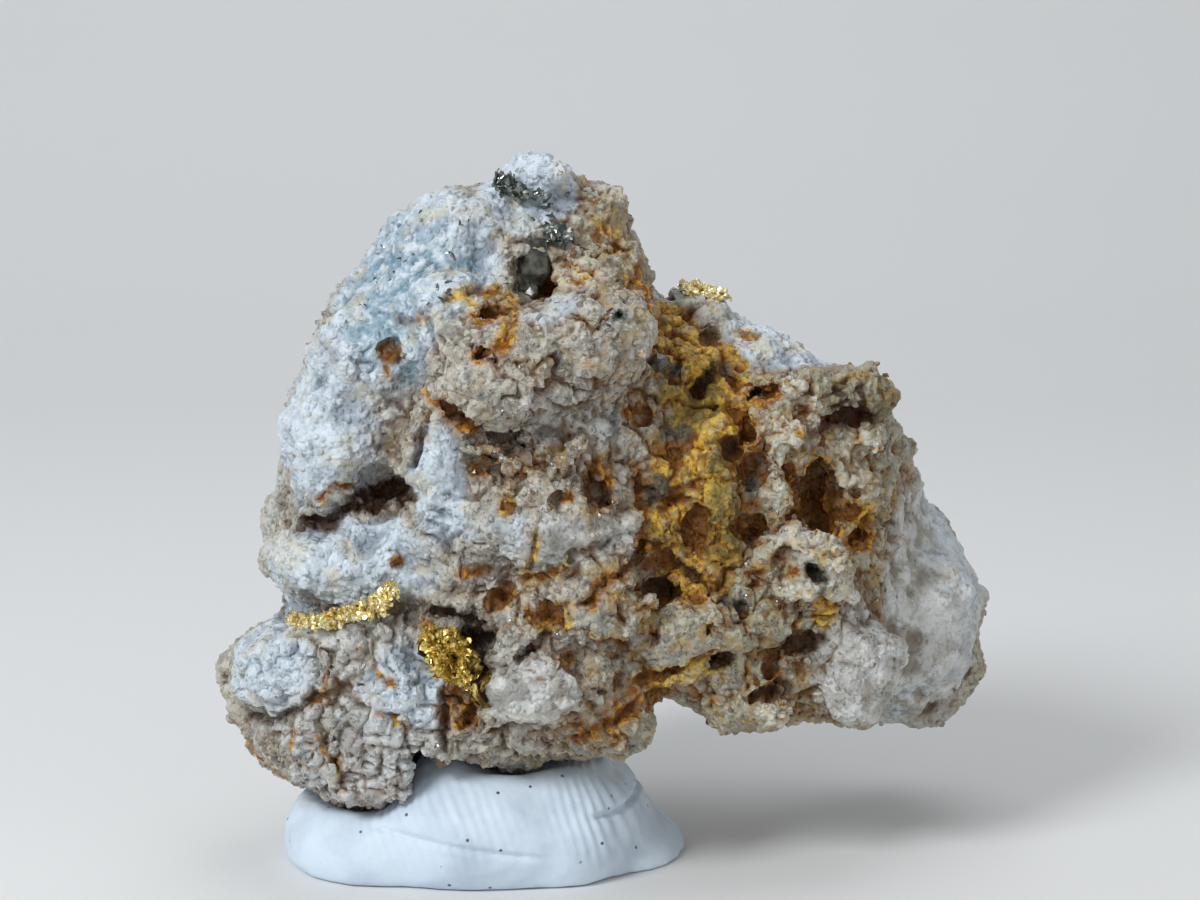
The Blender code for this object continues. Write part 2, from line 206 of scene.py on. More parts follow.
@dataclass(frozen=True)
class Zone:
    """A soft-edged region of the specimen, as an ellipsoid that fades outwards."""

    middle: Triple
    half: Triple
    strength: float = 1.0
    edge: tuple[float, float] = (0.55, 1.25)

    def weight(self, points: Points) -> np.ndarray:
        """How strongly the zone holds at each point, from 0 to its strength."""
        away = np.linalg.norm((points - self.middle) / self.half, axis=1)
        return self.strength * (1.0 - smooth(away, *self.edge))


def zones(*rows: tuple) -> tuple[Zone, ...]:
    """Makes zones from rows of a middle, a half size and, where it isn't 1, a strength."""
    return tuple(Zone(*row) for row in rows)


def covered(several: Sequence[Zone], points: Points) -> np.ndarray:
    """The strongest of several zones at each point."""
    return np.max([np.zeros(len(points))] + [zone.weight(points) for zone in several], axis=0)


# ------------ mesh helpers


def only(obj: Object) -> None:
    """Selects one object and makes it active.

    Args:
        obj: The object.
    """
    if bpy.context.object and bpy.context.object.mode != "OBJECT":
        bpy.ops.object.mode_set(mode="OBJECT")
    bpy.ops.object.select_all(action="DESELECT")
    obj.select_set(True)
    bpy.context.view_layer.objects.active = obj


def finish_modifiers(obj: Object) -> None:
    """Applies an object's modifiers in their order.

    Args:
        obj: The object.
    """
    only(obj)
    for modifier in list(obj.modifiers):
        bpy.ops.object.modifier_apply(modifier=modifier.name)


def merged_copy(node: str, name: str) -> Object:
    """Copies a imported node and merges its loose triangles.

    Args:
        node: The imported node's name.
        name: The new piece's name.

    Returns:
        The new piece.
    """
    source = bpy.data.objects[node]
    made = bpy.data.objects.new(name, source.data.copy())
    made.data.name = name
    made.data.materials.clear()
    bpy.context.scene.collection.objects.link(made)
    only(made)
    bpy.ops.object.mode_set(mode="EDIT")
    bpy.ops.mesh.select_all(action="SELECT")
    bpy.ops.mesh.remove_doubles(threshold=1e-7)
    bpy.ops.object.mode_set(mode="OBJECT")
    return made


def regrid(obj: Object, grid: float) -> None:
    """Lays an even grid of faces over a closed mesh.

    Args:
        obj: The mesh.
        grid: The faces' size in millimetres.
    """
    made = obj.modifiers.new("grid", "REMESH")
    made.mode = "VOXEL"
    made.voxel_size = grid * MM
    finish_modifiers(obj)


def soften(obj: Object, rounds: int) -> None:
    """Rounds off the facets of a mesh.

    Args:
        obj: The mesh.
        rounds: How many times each corner moves half-way to its neighbours.
    """
    made = obj.modifiers.new("soften", "SMOOTH")
    made.factor = 0.5
    made.iterations = rounds
    finish_modifiers(obj)


def thin_out(obj: Object, triangles: int) -> None:
    """Brings a mesh down to a number of triangles and keeps the detail where the form bends.

    Args:
        obj: The mesh.
        triangles: The most triangles that it may keep.
    """
    obj.data.calc_loop_triangles()
    now = len(obj.data.loop_triangles)
    if now <= triangles:
        return
    made = obj.modifiers.new("thin", "DECIMATE")
    made.ratio = triangles / now
    finish_modifiers(obj)


def places(obj: Object) -> Points:
    """Reads where a mesh's vertices are.

    Args:
        obj: The mesh.

    Returns:
        Places in millimetres from the specimen's middle.
    """
    flat = np.empty(len(obj.data.vertices) * 3, np.float32)
    obj.data.vertices.foreach_get("co", flat)
    return flat.reshape(-1, 3).astype(float) / MM - MIDDLE


def move_to(obj: Object, points: Points) -> None:
    """Writes new places, in millimetres from the specimen's middle, to a mesh."""
    obj.data.vertices.foreach_set("co", ((points + MIDDLE) * MM).astype(np.float32).ravel())
    obj.data.update()


def normals(obj: Object) -> np.ndarray:
    """Reads which way a mesh's surface faces.

    Args:
        obj: The mesh.

    Returns:
        One unit normal for each vertex.
    """
    flat = np.empty(len(obj.data.vertices) * 3, np.float32)
    obj.data.vertex_normals.foreach_get("vector", flat)
    return flat.reshape(-1, 3).astype(float)


def hollowness(obj: Object, rounds: int) -> np.ndarray:
    """Compares a mesh with its own smoothed surface.

    Args:
        obj: The mesh.
        rounds: How often the surface is smoothed, so how wide a hollow counts.

    Returns:
        How far each vertex lies below the smoothed surface, in millimetres.
    """
    points = places(obj)
    pairs = np.empty(len(obj.data.edges) * 2, np.int32)
    obj.data.edges.foreach_get("vertices", pairs)
    first, second = pairs.reshape(-1, 2).T
    count = np.bincount(pairs, minlength=len(points)).astype(float)
    level = points.copy()
    for _ in range(rounds):
        for axis in range(3):
            total = np.bincount(first, level[second, axis], len(points))
            total += np.bincount(second, level[first, axis], len(points))
            level[:, axis] = 0.5 * level[:, axis] + 0.5 * total / count
    return np.einsum("ij,ij->i", level - points, normals(obj))


def store(obj: Object, name: str, values: np.ndarray) -> None:
    """Keeps one number a vertex on a mesh, for its material to read."""
    made = obj.data.attributes.new(name, "FLOAT", "POINT")
    made.data.foreach_set("value", np.clip(values, 0.0, 1.0).astype(np.float32))


def stored(obj: Object, name: str) -> np.ndarray:
    """Reads back the numbers that a mesh keeps.

    Args:
        obj: The mesh.
        name: The name that they are kept under.

    Returns:
        One number for each vertex.
    """
    flat = np.empty(len(obj.data.vertices), np.float32)
    obj.data.attributes[name].data.foreach_get("value", flat)
    return flat.astype(float)


@dataclass
class Assembly:
    """A part of the specimen that ends as one piece."""

    piece: Object | None = field(default=None, init=False)

    def build(self) -> None:
        """Makes the piece."""
        raise NotImplementedError

    def dress(self) -> None:
        """Gives the piece its finish and ties it to the specimen."""
        raise NotImplementedError

    def paint(self, finish: Finish) -> None:
        """Gives the piece one finish in place of what it has."""
        self.piece.data.materials.clear()
        self.piece.data.materials.append(finish.build())

    def report(self) -> None:
        """Logs the finished piece."""
        LOG.info("%s: %d faces", self.piece.name, len(self.piece.data.polygons))


# ------------ materials


class Tone(Enum):
    """The specimen's colours, as linear red, green and blue."""

    CHALK = (0.68, 0.76, 0.82)
    # Shade colours of the chalk: random mottling, and painted shade in its hollows.
    CHALK_SHADE = (0.34, 0.39, 0.44)
    CHALK_BLUE = (0.20, 0.33, 0.41)
    CHALK_DEEP = (0.15, 0.20, 0.23)
    MILK = (0.58, 0.555, 0.475)
    GREY_GLASS = (0.27, 0.255, 0.225)
    FROST = (0.68, 0.69, 0.67)
    FROST_SHADE = (0.39, 0.37, 0.325)
    SMOKY_GLASS = (0.17, 0.16, 0.13)
    BEIGE = (0.46, 0.435, 0.315)
    # Dark beige stone, also used as painted shade in the hollows of the grey quartz.
    STONE = (0.20, 0.165, 0.10)
    # Near-black: random dark flecks, and painted shade between the lumps.
    SMOKE = (0.06, 0.057, 0.05)
    COOL_SHADE = (0.15, 0.115, 0.085)
    WARM_SHADE = (0.11, 0.055, 0.018)
    CREAM = (0.66, 0.56, 0.34)
    TAN = (0.37, 0.26, 0.105)
    OCHRE = (0.62, 0.325, 0.036)
    BRIGHT_OCHRE = (0.80, 0.52, 0.08)
    OLIVE = (0.17, 0.135, 0.045)
    RUST = (0.25, 0.080, 0.010)
    # Dark brown: real in stain flecks and rusted hollows, painted shade in dark pits, clefts and gold folds.
    UMBER = (0.055, 0.026, 0.012)
    GREEN_BLACK = (0.03, 0.038, 0.028)
    GOLD = (1.0, 0.80, 0.30)
    # Dull gold, also painted shade in the folds of the pale seam gold.
    OLD_GOLD = (0.50, 0.35, 0.07)
    PALE_GOLD = (1.0, 0.91, 0.60)
    DIM_GOLD = (0.95, 0.80, 0.42)
    STEEL = (0.44, 0.45, 0.41)
    BLACK_GREEN = (0.09, 0.115, 0.10)
    PUTTY = (0.72, 0.83, 0.94)
    PUTTY_DUST = (0.45, 0.54, 0.64)
    CRYSTAL_DEEP = (0.05, 0.05, 0.035)
    CRYSTAL = (0.20, 0.20, 0.16)
    FIBRE = (0.06, 0.09, 0.13)
    PAPER = (0.80, 0.80, 0.79)


class Graph:
    """Builds one material's nodes."""

    def __init__(self, name: str) -> None:
        """Starts a material that holds only its output and its main shader.

        Args:
            name: The material's name.
        """
        self.material = bpy.data.materials.new(name)
        self.material.use_nodes = True
        self.tree = self.material.node_tree
        self.shader = self.tree.nodes["Principled BSDF"]
        self.place = self.tree.nodes.new("ShaderNodeTexCoord").outputs["Object"]

    def feed(self, socket: NodeSocket, value: object) -> None:
        """Links an output to a socket, or sets a plain value or a tone on it.

        Args:
            socket: The socket that takes the value.
            value: An output, a tone, a number or a row of numbers.
        """
        if isinstance(value, NodeSocket):
            self.tree.links.new(value, socket)
        else:
            socket.default_value = (*value.value, 1.0) if isinstance(value, Tone) else value

    def node(
        self, kind: str, output: int | str, inputs: dict[int | str, object], **choices: object
    ) -> NodeSocket:
        """Adds a node.

        Args:
            kind: The node's kind, without the words before it that all kinds share.
            output: Which of its outputs is wanted.
            inputs: What each of its inputs takes.
            **choices: The node's own settings.

        Returns:
            The output.
        """
        made = self.tree.nodes.new("ShaderNode" + kind)
        for name, choice in choices.items():
            setattr(made, name, choice)
        for name, value in inputs.items():
            self.feed(made.inputs[name], value)
        return made.outputs[output]

    @cache
    def attribute(self, name: str) -> NodeSocket:
        """Reads a number that the mesh keeps."""
        return self.node("Attribute", "Fac", {}, attribute_name=name)

    @cache
    def noise(self, size: float, detail: float = 3.0, warp: float = 0.0) -> NodeSocket:
        """Random hills of that size in millimetres, from 0 to 1."""
        ends = {"Vector": self.place, "Scale": 1.0 / (size * MM), "Detail": detail, "Distortion": warp}
        return self.node("TexNoise", "Fac", ends)

    def cells(self, size: float) -> NodeSocket:
        """Distances from the middles of random cells of that size in millimetres."""
        ends = {"Vector": self.place, "Scale": 1.0 / (size * MM)}
        return self.node("TexVoronoi", "Distance", ends)

    def span(
        self, value: NodeSocket, low: float, high: float, first: float = 0.0, last: float = 1.0
    ) -> NodeSocket:
        """Stretches a value's range from low to high over one from first to last, with soft ends."""
        ends = {"Value": value, "From Min": low, "From Max": high, "To Min": first, "To Max": last}
        return self.node("MapRange", "Result", ends, interpolation_type="SMOOTHSTEP")

    def joined(self, kind: str, first: object, second: object) -> NodeSocket:
        """Multiplies two shares or takes the greater, and keeps the result from 0 to 1."""
        return self.node("Math", 0, {0: first, 1: second}, operation=kind, use_clamp=True)

    def mix(self, share: object, first: object, second: object) -> NodeSocket:
        """Mixes two colours."""
        return self.node("Mix", 2, {0: share, 6: first, 7: second}, data_type="RGBA")

    def coat(self, body: object, *coats: tuple) -> object:
        """Lays coats of colour over a body, one after the other.

        Args:
            body: The colour underneath.
            *coats: A mask, a colour and then the ends of the mask's span for each.

        Returns:
            The colour of them all.
        """
        for mask, colour, *ends in coats:
            body = self.mix(self.span(mask, *ends), body, colour)
        return body

    def bump(
        self, height: NodeSocket, depth: float, strength: float = 1.0, **under: NodeSocket
    ) -> NodeSocket:
        """Relief too fine for the mesh, of that depth in millimetres, over any Normal given."""
        ends = {"Height": height, "Distance": depth * MM, "Strength": strength, **under}
        return self.node("Bump", "Normal", ends)


@dataclass(frozen=True)
class Finish:
    """A finish, which says what the main shader's sockets take."""

    name: str

    def sockets(self, graph: Graph) -> dict[str, object]:
        """What each socket takes, named with _ for each space."""
        raise NotImplementedError

    def build(self) -> Material:
        """Makes the material, or finds it where another piece has it already.

        Returns:
            The material.
        """
        known = bpy.data.materials.get(self.name)
        if known:
            return known
        graph = Graph(self.name)
        for name, value in self.sockets(graph).items():
            graph.feed(graph.shader.inputs[name.replace("_", " ")], value)
        return graph.material


@dataclass(frozen=True)
class QuartzFinish(Finish):
    """Sugary quartz, from chalky white to grey glass, with iron stain and painted shade in its hollows."""

    roughness: tuple[float, float] = (0.30, 0.58)
    glass: float = 0.0
    relief: float = 0.10

    def plain(self, graph: Graph) -> NodeSocket:
        """The commonest quartz, mottled milky white and grey, and tan where iron is near.

        Args:
            graph: The material's nodes.

        Returns:
            Its colour.
        """
        warm, grain, lump = map(graph.attribute, ("warm", "grain", "lump"))
        light = graph.mix(warm, Tone.MILK, Tone.BEIGE)
        mottle = graph.span(graph.noise(0.34, 4.0, 0.3), 0.40, 0.60)
        shade = graph.mix(warm, Tone.COOL_SHADE, Tone.WARM_SHADE)
        body = graph.coat(
            graph.mix(mottle, graph.mix(warm, Tone.GREY_GLASS, Tone.STONE), light),
            (graph.noise(1.5, 4.0), light, 0.42, 0.62, 0.0, 0.75),
            # Painted shade: darker in the hollows and creases, by how little the stone stands out there.
            (graph.attribute("rise"), shade, 0.0, 0.62, 1.0, 0.0),
            (lump, light, 0.60, 0.80, 0.0, 0.55),
            (lump, Tone.GREY_GLASS, 0.15, 0.35, 0.50, 0.0),
            (grain, Tone.MILK, 0.70, 0.90, 0.0, 0.55),
            (grain, Tone.GREY_GLASS, 0.08, 0.26, 0.65, 0.0),
            (graph.noise(0.2, 2.0), Tone.SMOKE, 0.62, 0.70, 0.0, 0.7),
        )
        tan = graph.span(graph.noise(0.9, 5.0, 0.5), 0.48, 0.64, 0.0, 0.9)
        return graph.mix(graph.joined("MULTIPLY", tan, graph.attribute("rusty")), body, Tone.TAN)

    def frosty(self, graph: Graph) -> NodeSocket:
        """The pale grey quartz of the flanks.

        Args:
            graph: The material's nodes.

        Returns:
            Its colour.
        """
        haze = graph.span(graph.noise(1.3, 6.0, 0.6), 0.30, 0.62)
        body = graph.coat(
            graph.mix(haze, Tone.FROST_SHADE, Tone.FROST),
            (graph.attribute("lump"), Tone.FROST, 0.62, 0.80, 0.0, 0.7),
            (graph.attribute("lump"), Tone.GREY_GLASS, 0.12, 0.30, 0.6, 0.0),
        )
        bare = graph.span(graph.noise(1.5, 4.0), 0.50, 0.66, 0.0, 0.45)
        return graph.coat(
            graph.mix(graph.joined("MULTIPLY", graph.attribute("rusty"), bare), body, Tone.STONE),
            (graph.attribute("grain"), Tone.FROST_SHADE, 0.10, 0.30, 0.6, 0.0),
            # Painted shade: the stone colour darkens the hollows and creases.
            (graph.attribute("rise"), Tone.STONE, 0.0, 0.45, 0.75, 0.0),
        )

    def chalky(self, graph: Graph) -> NodeSocket:
        """The chalky blue-white quartz of the left side.

        Args:
            graph: The material's nodes.

        Returns:
            Its colour.
        """
        cool = graph.attribute("cool")
        shade = graph.mix(cool, Tone.CHALK_SHADE, Tone.CHALK_BLUE)
        veil = graph.span(graph.noise(0.8, 6.0, 0.4), 0.26, 0.60, 0.3, 1.0)
        patch = graph.span(graph.noise(1.0, 6.0, 0.5), 0.46, 0.60, 0.0, 0.7)
        return graph.coat(
            graph.mix(graph.joined("MULTIPLY", cool, patch), graph.mix(veil, shade, Tone.CHALK), shade),
            (graph.attribute("grain"), shade, 0.05, 0.22, 0.45, 0.0),
            # Painted shade: darker blue-grey in the hollows and creases.
            (graph.attribute("rise"), shade, 0.0, 0.55, 1.0, 0.0),
            (graph.noise(1.7, 5.0), Tone.CREAM, 0.52, 0.68, 0.0, 0.5),
            (graph.noise(0.45, 5.0, 0.5), Tone.CHALK_DEEP, 0.60, 0.70, 0.0, 0.75),
        )

    def thick_stain(self, graph: Graph) -> NodeSocket:
        """Iron stain that hides the quartz, from rust in its creases to bright ochre on its grains.

        Args:
            graph: The material's nodes.

        Returns:
            Its colour.
        """
        rise, grain = graph.attribute("rise"), graph.attribute("grain")
        return graph.coat(
            graph.mix(graph.span(graph.noise(0.7, 4.0), 0.38, 0.60), Tone.RUST, Tone.OCHRE),
            (rise, Tone.BRIGHT_OCHRE, 0.15, 0.80),
            (graph.noise(0.5, 5.0, 0.4), Tone.BRIGHT_OCHRE, 0.52, 0.66, 0.0, 0.6),
            (grain, Tone.OLIVE, 0.12, 0.32, 0.8, 0.0),
            (graph.noise(0.6, 4.0, 0.3), Tone.OLIVE, 0.54, 0.66, 0.0, 0.75),
            (grain, Tone.TAN, 0.60, 0.74, 0.0, 0.6),
            (grain, Tone.CREAM, 0.82, 0.92, 0.0, 0.40),
            (graph.noise(0.3, 4.0), Tone.RUST, 0.54, 0.66, 0.0, 0.8),
            (graph.noise(1.1, 5.0, 0.5), Tone.UMBER, 0.56, 0.66, 0.0, 0.6),
            (rise, Tone.RUST, 0.0, 0.25, 0.8, 0.0),
        )

    def red_stain(self, graph: Graph) -> NodeSocket:
        """Red-brown rust, darkest where the stone is hollow.

        Args:
            graph: The material's nodes.

        Returns:
            Its colour.
        """
        return graph.coat(
            graph.mix(graph.span(graph.noise(0.28, 4.0), 0.44, 0.60), Tone.RUST, Tone.OCHRE),
            (graph.attribute("rise"), Tone.RUST, 0.25, 0.85, 0.75, 0.0),
            (graph.attribute("rise"), Tone.UMBER, 0.0, 0.25, 0.55, 0.0),
        )

    def colour(self, graph: Graph) -> NodeSocket:
        """The stone's colour, with every kind of quartz, stain and painted shade where its mask says.

        Args:
            graph: The material's nodes.

        Returns:
            The colour.
        """
        mottle = graph.span(graph.noise(0.34, 4.0, 0.3), 0.40, 0.60)
        speckle = graph.noise(0.5, 5.0, 0.4)
        body = self.plain(graph)
        for mask, tone in (
            ("grey", self.frosty(graph)),
            ("chalk", self.chalky(graph)),
            ("cream", graph.mix(graph.span(mottle, 0.0, 1.0, 0.2, 0.9), Tone.CREAM, Tone.FROST)),
        ):
            body = graph.mix(graph.attribute(mask), body, tone)
        for mask, tone, *ends in (
            ("ochre", self.thick_stain(graph), 0.30, 0.60, 0.55, 1.25),
            ("olive", Tone.OLIVE, 0.36, 0.60, 1.1, 0.6),
            ("rust", self.red_stain(graph), 0.30, 0.65, 0.5, 1.2),
        ):
            share = graph.joined("MULTIPLY", graph.attribute(mask), graph.span(speckle, *ends))
            body = graph.mix(share, body, tone)
        # Painted shade: near-black between the lumps, mottled with dark smoky glass.
        smoke_and_shade = graph.mix(graph.span(speckle, 0.40, 0.60), Tone.SMOKE, Tone.SMOKY_GLASS)
        # Painted shade: the umber mask paints dark pits, crevices and clefts near-black brown.
        for mask, tone in (("smoke_and_shade", smoke_and_shade), ("green", Tone.GREEN_BLACK), ("umber_and_shade", Tone.UMBER)):
            body = graph.mix(graph.attribute(mask), body, tone)
        return body

    def sockets(self, graph: Graph) -> dict[str, object]:
        """What each socket takes, named with _ for each space.

        Args:
            graph: The material's nodes.

        Returns:
            A value or a node's output for each socket.
        """
        fine = graph.bump(graph.noise(0.14, 4.0), self.relief * 0.6, 0.8)
        pebbles = graph.span(graph.cells(0.34), 0.05, 0.62, 1.0, 0.0)
        fine = graph.bump(pebbles, self.relief * 1.1, 0.9, Normal=fine)
        dull = graph.span(graph.attribute("rise"), 0.1, 0.7, 0.8, 0.0)
        for mask in ("ochre", "rust", "umber_and_shade"):
            dull = graph.joined("MAXIMUM", dull, graph.attribute(mask))
        return dict(
            Base_Color=self.colour(graph),
            Roughness=graph.span(graph.noise(0.5, 3.0), 0.35, 0.65, *self.roughness),
            Normal=graph.bump(graph.noise(0.26, 4.0), self.relief, 1.0, Normal=fine),
            Specular_IOR_Level=graph.span(dull, 0.0, 1.0, 0.6, 0.16),
            IOR=QUARTZ_IOR,
            Subsurface_Weight=0.15,
            Subsurface_Radius=(0.9, 0.7, 0.5),
            Subsurface_Scale=0.3 * MM,
            Transmission_Weight=self.glass,
        )


@dataclass(frozen=True)
class GoldFinish(Finish):
    """Bright crumpled gold, dull in places, with painted shade darkening its folds."""

    dull: Tone
    bright: Tone
    deep: Tone = Tone.UMBER

    def sockets(self, graph: Graph) -> dict[str, object]:
        """What each socket takes, named with _ for each space."""
        body = graph.coat(self.dull, (graph.noise(0.3, 3.0), self.bright, 0.40, 0.62))
        return dict(
            # Painted shade: the folds take the deep colour by how hollow the leaf is.
            Base_Color=graph.mix(graph.attribute("hollow"), body, self.deep),
            Metallic=1.0,
            Roughness=graph.span(graph.noise(0.2, 2.0), 0.3, 0.7, 0.24, 0.52),
            Normal=graph.bump(graph.noise(0.12, 3.0), 0.03, 0.5),
        )


@dataclass(frozen=True)
class SulphideFinish(Finish):
    """Dark grey metal with a dull green cast."""

    name: str = "grey_metal_crystal"

    def sockets(self, graph: Graph) -> dict[str, object]:
        """What each socket takes, named with _ for each space."""
        patch = graph.span(graph.noise(0.35, 3.0), 0.42, 0.60)
        return dict(
            Base_Color=graph.mix(patch, Tone.BLACK_GREEN, Tone.STEEL),
            Metallic=0.9,
            Roughness=graph.span(patch, 0.0, 1.0, 0.35, 0.15),
            Normal=graph.bump(graph.noise(0.15, 2.0), 0.02, 0.4),
        )


@dataclass(frozen=True)
class SmokyFinish(Finish):
    """Clear smoky quartz with a green-grey cast, cloudy inside."""

    name: str = "smoky_quartz"

    def sockets(self, graph: Graph) -> dict[str, object]:
        """What each socket takes, named with _ for each space."""
        cloud = graph.span(graph.noise(0.5, 4.0), 0.35, 0.65)
        return dict(
            Base_Color=graph.mix(cloud, Tone.CRYSTAL_DEEP, Tone.CRYSTAL),
            Roughness=graph.span(cloud, 0.0, 1.0, 0.08, 0.28),
            IOR=QUARTZ_IOR,
            Transmission_Weight=0.35,
            Normal=graph.bump(graph.noise(0.3, 3.0), 0.03, 0.4),
        )


@dataclass(frozen=True)
class PuttyFinish(Finish):
    """Matte bluish-white putty with dust specks in it."""

    name: str = "mounting_putty"

    def sockets(self, graph: Graph) -> dict[str, object]:
        """What each socket takes, named with _ for each space."""
        return dict(
            Base_Color=graph.coat(
                Tone.PUTTY,
                (graph.noise(3.0, 4.0), Tone.PUTTY_DUST, 0.4, 0.7, 0.0, 0.6),
                (graph.cells(1.1), Tone.FIBRE, 0.05, 0.11, 1.0, 0.0),
            ),
            Roughness=graph.span(graph.noise(0.8, 3.0), 0.3, 0.7, 0.5, 0.72),
            Normal=graph.bump(graph.noise(0.25, 4.0), 0.03, 0.5),
            Subsurface_Weight=0.15,
            Subsurface_Radius=(0.8, 0.9, 1.0),
            Subsurface_Scale=0.6 * MM,
        )


@dataclass(frozen=True)
class PlainFinish(Finish):
    """One even colour, for what isn't part of the specimen."""

    tone: Tone
    roughness: float = 0.9

    def sockets(self, graph: Graph) -> dict[str, object]:
        """What each socket takes, named with _ for each space."""
        return dict(Base_Color=self.tone, Roughness=self.roughness)


# ------------ stains and painted shade


# Chalky quartz: the left side, the knob and the shelf, with patches on the lobe and in the middle.
CHALK_ZONES = zones(
    ((-9.5, -2.5, 29.4), (5.2, 5.5, 6.4)), ((-3.6, -1.5, 34.2), (2.6, 4.0, 2.6), 1.1),
    ((-13.4, -2.0, 22.5), (3.4, 5.5, 4.6), 0.95), ((-7.7, -8.0, 20.4), (1.5, 2.6, 3.4)),
    ((-12.0, -5.5, 16.4), (5.0, 4.0, 2.4)), ((-16.4, -3.6, 11.8), (3.4, 4.5, 3.8), 0.95),
    ((-9.3, -7.2, 10.4), (2.4, 2.6, 2.6), 0.75), ((-11.6, -6.4, 7.4), (4.2, 4.0, 3.4), 0.42),
    ((9.0, 1.6, 26.0), (3.6, 3.0, 1.7)), ((-2.6, -6.8, 29.6), (2.2, 2.4, 1.6), 0.5),
    ((-4.8, -8.4, 18.4), (2.0, 2.4, 1.8), 0.45),
)
# Grey, frosty quartz: the right flank, the lower lobe and bulges in the middle.
GREY_ZONES = zones(
    ((17.6, 0.8, 12.6), (3.8, 7.0, 7.4), 1.1), ((13.4, -4.0, 10.6), (3.4, 4.0, 3.6), 0.9),
    ((-3.2, -8.9, 10.4), (2.8, 2.4, 2.2), 0.9), ((-2.0, -8.3, 17.6), (1.6, 2.0, 1.9), 0.8),
    ((1.0, -6.8, 17.9), (2.0, 2.0, 1.2), 0.8), ((0.2, -5.7, 23.1), (1.2, 2.0, 1.3), 0.7),
    ((-12.4, -6.0, 9.6), (5.6, 5.0, 4.6), 1.15), ((-11.6, -6.0, 6.0), (4.6, 4.4, 2.8)),
    ((-1.6, -7.4, 24.6), (3.0, 3.0, 2.2), 0.5),
)
# The bluest chalk, high on the left.
COOL_ZONES = zones(((-10.0, -3.0, 29.4), (4.2, 5.0, 4.6), 0.9))
# Beige stone right of the summit.
WARM_ZONES = zones(
    ((0.9, -1.8, 31.4), (2.4, 2.8, 2.8)), ((-0.6, -4.0, 29.6), (2.2, 2.4, 1.4), 0.7),
)
# Cream crusts and crystals.
CREAM_ZONES = zones(
    ((0.9, -1.4, 33.7), (0.8, 2.2, 0.7), 0.6), ((-3.9, -2.5, 32.3), (1.0, 1.6, 0.8), 0.5),
    ((-12.8, -6.0, 14.4), (2.6, 2.4, 1.0), 0.3), ((-13.2, -6.0, 15.5), (0.5, 1.2, 0.6), 0.8),
    ((-7.0, -7.7, 17.7), (0.35, 1.0, 0.35), 0.9), ((1.0, -6.0, 27.0), (3.5, 3.0, 3.0), 0.35),
    ((-3.2, -8.5, 9.3), (2.6, 2.4, 1.0), 0.5), ((-1.0, -7.2, 10.6), (0.5, 1.2, 0.6), 0.8),
    ((5.4, 2.7, 28.3), (1.6, 1.8, 0.9), 0.8), ((-1.0, -4.1, 30.3), (1.6, 2.0, 1.0), 0.9),
    ((-15.0, -4.5, 16.8), (1.6, 3.0, 1.3), 0.55), ((-16.8, -3.5, 13.0), (1.0, 3.0, 2.4), 0.5),
    ((-14.6, -2.5, 24.0), (1.2, 3.0, 2.0), 0.45), ((-11.0, -3.5, 20.6), (1.6, 3.0, 0.8), 0.5),
)
# The honey-brown band on the right of the middle, and small ochre patches.
OCHRE_ZONES = zones(
    ((4.4, -4.6, 18.2), (3.2, 4.5, 4.6), 1.05), ((5.6, -3.6, 22.6), (2.2, 4.0, 3.2), 1.1),
    ((4.9, -2.0, 25.2), (3.2, 4.5, 2.6), 1.1), ((3.4, 0.4, 27.3), (1.8, 3.5, 1.2), 1.05),
    ((7.5, 0.4, 26.1), (1.6, 2.5, 1.2), 0.6), ((12.6, -2.2, 17.6), (2.2, 2.5, 1.6), 0.8),
    ((11.2, -4.6, 13.9), (1.0, 2.5, 1.6)), ((3.6, -5.4, 14.0), (3.8, 3.0, 1.4), 0.5),
    ((0.8, -7.2, 8.6), (2.2, 2.5, 0.8), 0.5), ((-2.5, -8.3, 14.2), (1.2, 2.0, 0.9), 1.1),
    ((-4.6, -7.6, 15.0), (1.2, 2.0, 0.7), 0.55), ((-5.0, -6.0, 29.0), (2.0, 2.2, 0.8), 0.8),
    ((-4.4, -8.4, 27.6), (0.8, 1.6, 1.0), 0.9), ((-1.0, -4.1, 30.2), (1.2, 2.0, 0.8), 0.55),
    ((0.9, -1.8, 31.8), (1.6, 2.4, 1.8), 0.6), ((1.9, -3.0, 29.2), (1.4, 2.4, 1.4), 0.62),
    ((-12.9, -6.4, 6.2), (0.7, 1.6, 0.7), 0.8), ((-9.6, -7.3, 8.6), (0.5, 1.6, 0.5), 0.7),
    ((13.6, -1.4, 23.6), (1.4, 2.4, 1.4), 0.45), ((8.0, -5.0, 12.0), (4.4, 4.0, 2.2), 0.32),
    ((0.0, -7.0, 26.4), (3.0, 3.0, 2.4), 0.3),
)
# Olive glass in the honey-brown band and on the right shoulder.
OLIVE_ZONES = zones(
    ((6.1, -5.1, 18.4), (1.0, 2.6, 3.8), 1.35), ((4.2, -3.4, 23.6), (2.2, 3.4, 1.8), 0.8),
    ((14.2, -1.4, 23.2), (1.3, 2.4, 2.2), 0.8), ((14.6, -0.6, 20.0), (0.7, 2.0, 2.0), 0.7),
    ((3.6, -3.9, 22.8), (1.2, 2.0, 0.6), 0.9),
)
# Red-brown rust in and round the deeper hollows.
RUST_ZONES = zones(
    ((-9.2, -7.0, 21.8), (0.6, 1.6, 1.0), 0.8), ((-8.0, -6.9, 26.2), (0.7, 1.8, 1.4), 0.55),
    ((10.6, -2.4, 19.2), (1.8, 2.6, 2.6), 0.95), ((7.0, -2.8, 23.8), (1.8, 2.6, 1.4), 0.75),
    ((3.0, -6.2, 9.4), (4.2, 3.4, 1.2), 0.75), ((7.6, -5.0, 10.8), (3.6, 3.0, 2.2), 0.45),
    ((-0.4, -6.8, 8.2), (2.6, 3.0, 1.2), 0.7), ((-7.0, -7.2, 9.6), (1.2, 2.0, 1.8), 0.75),
    ((-12.0, -6.0, 4.4), (4.6, 3.0, 1.0), 0.5), ((4.9, -4.8, 13.2), (4.0, 3.0, 1.4), 0.35),
)
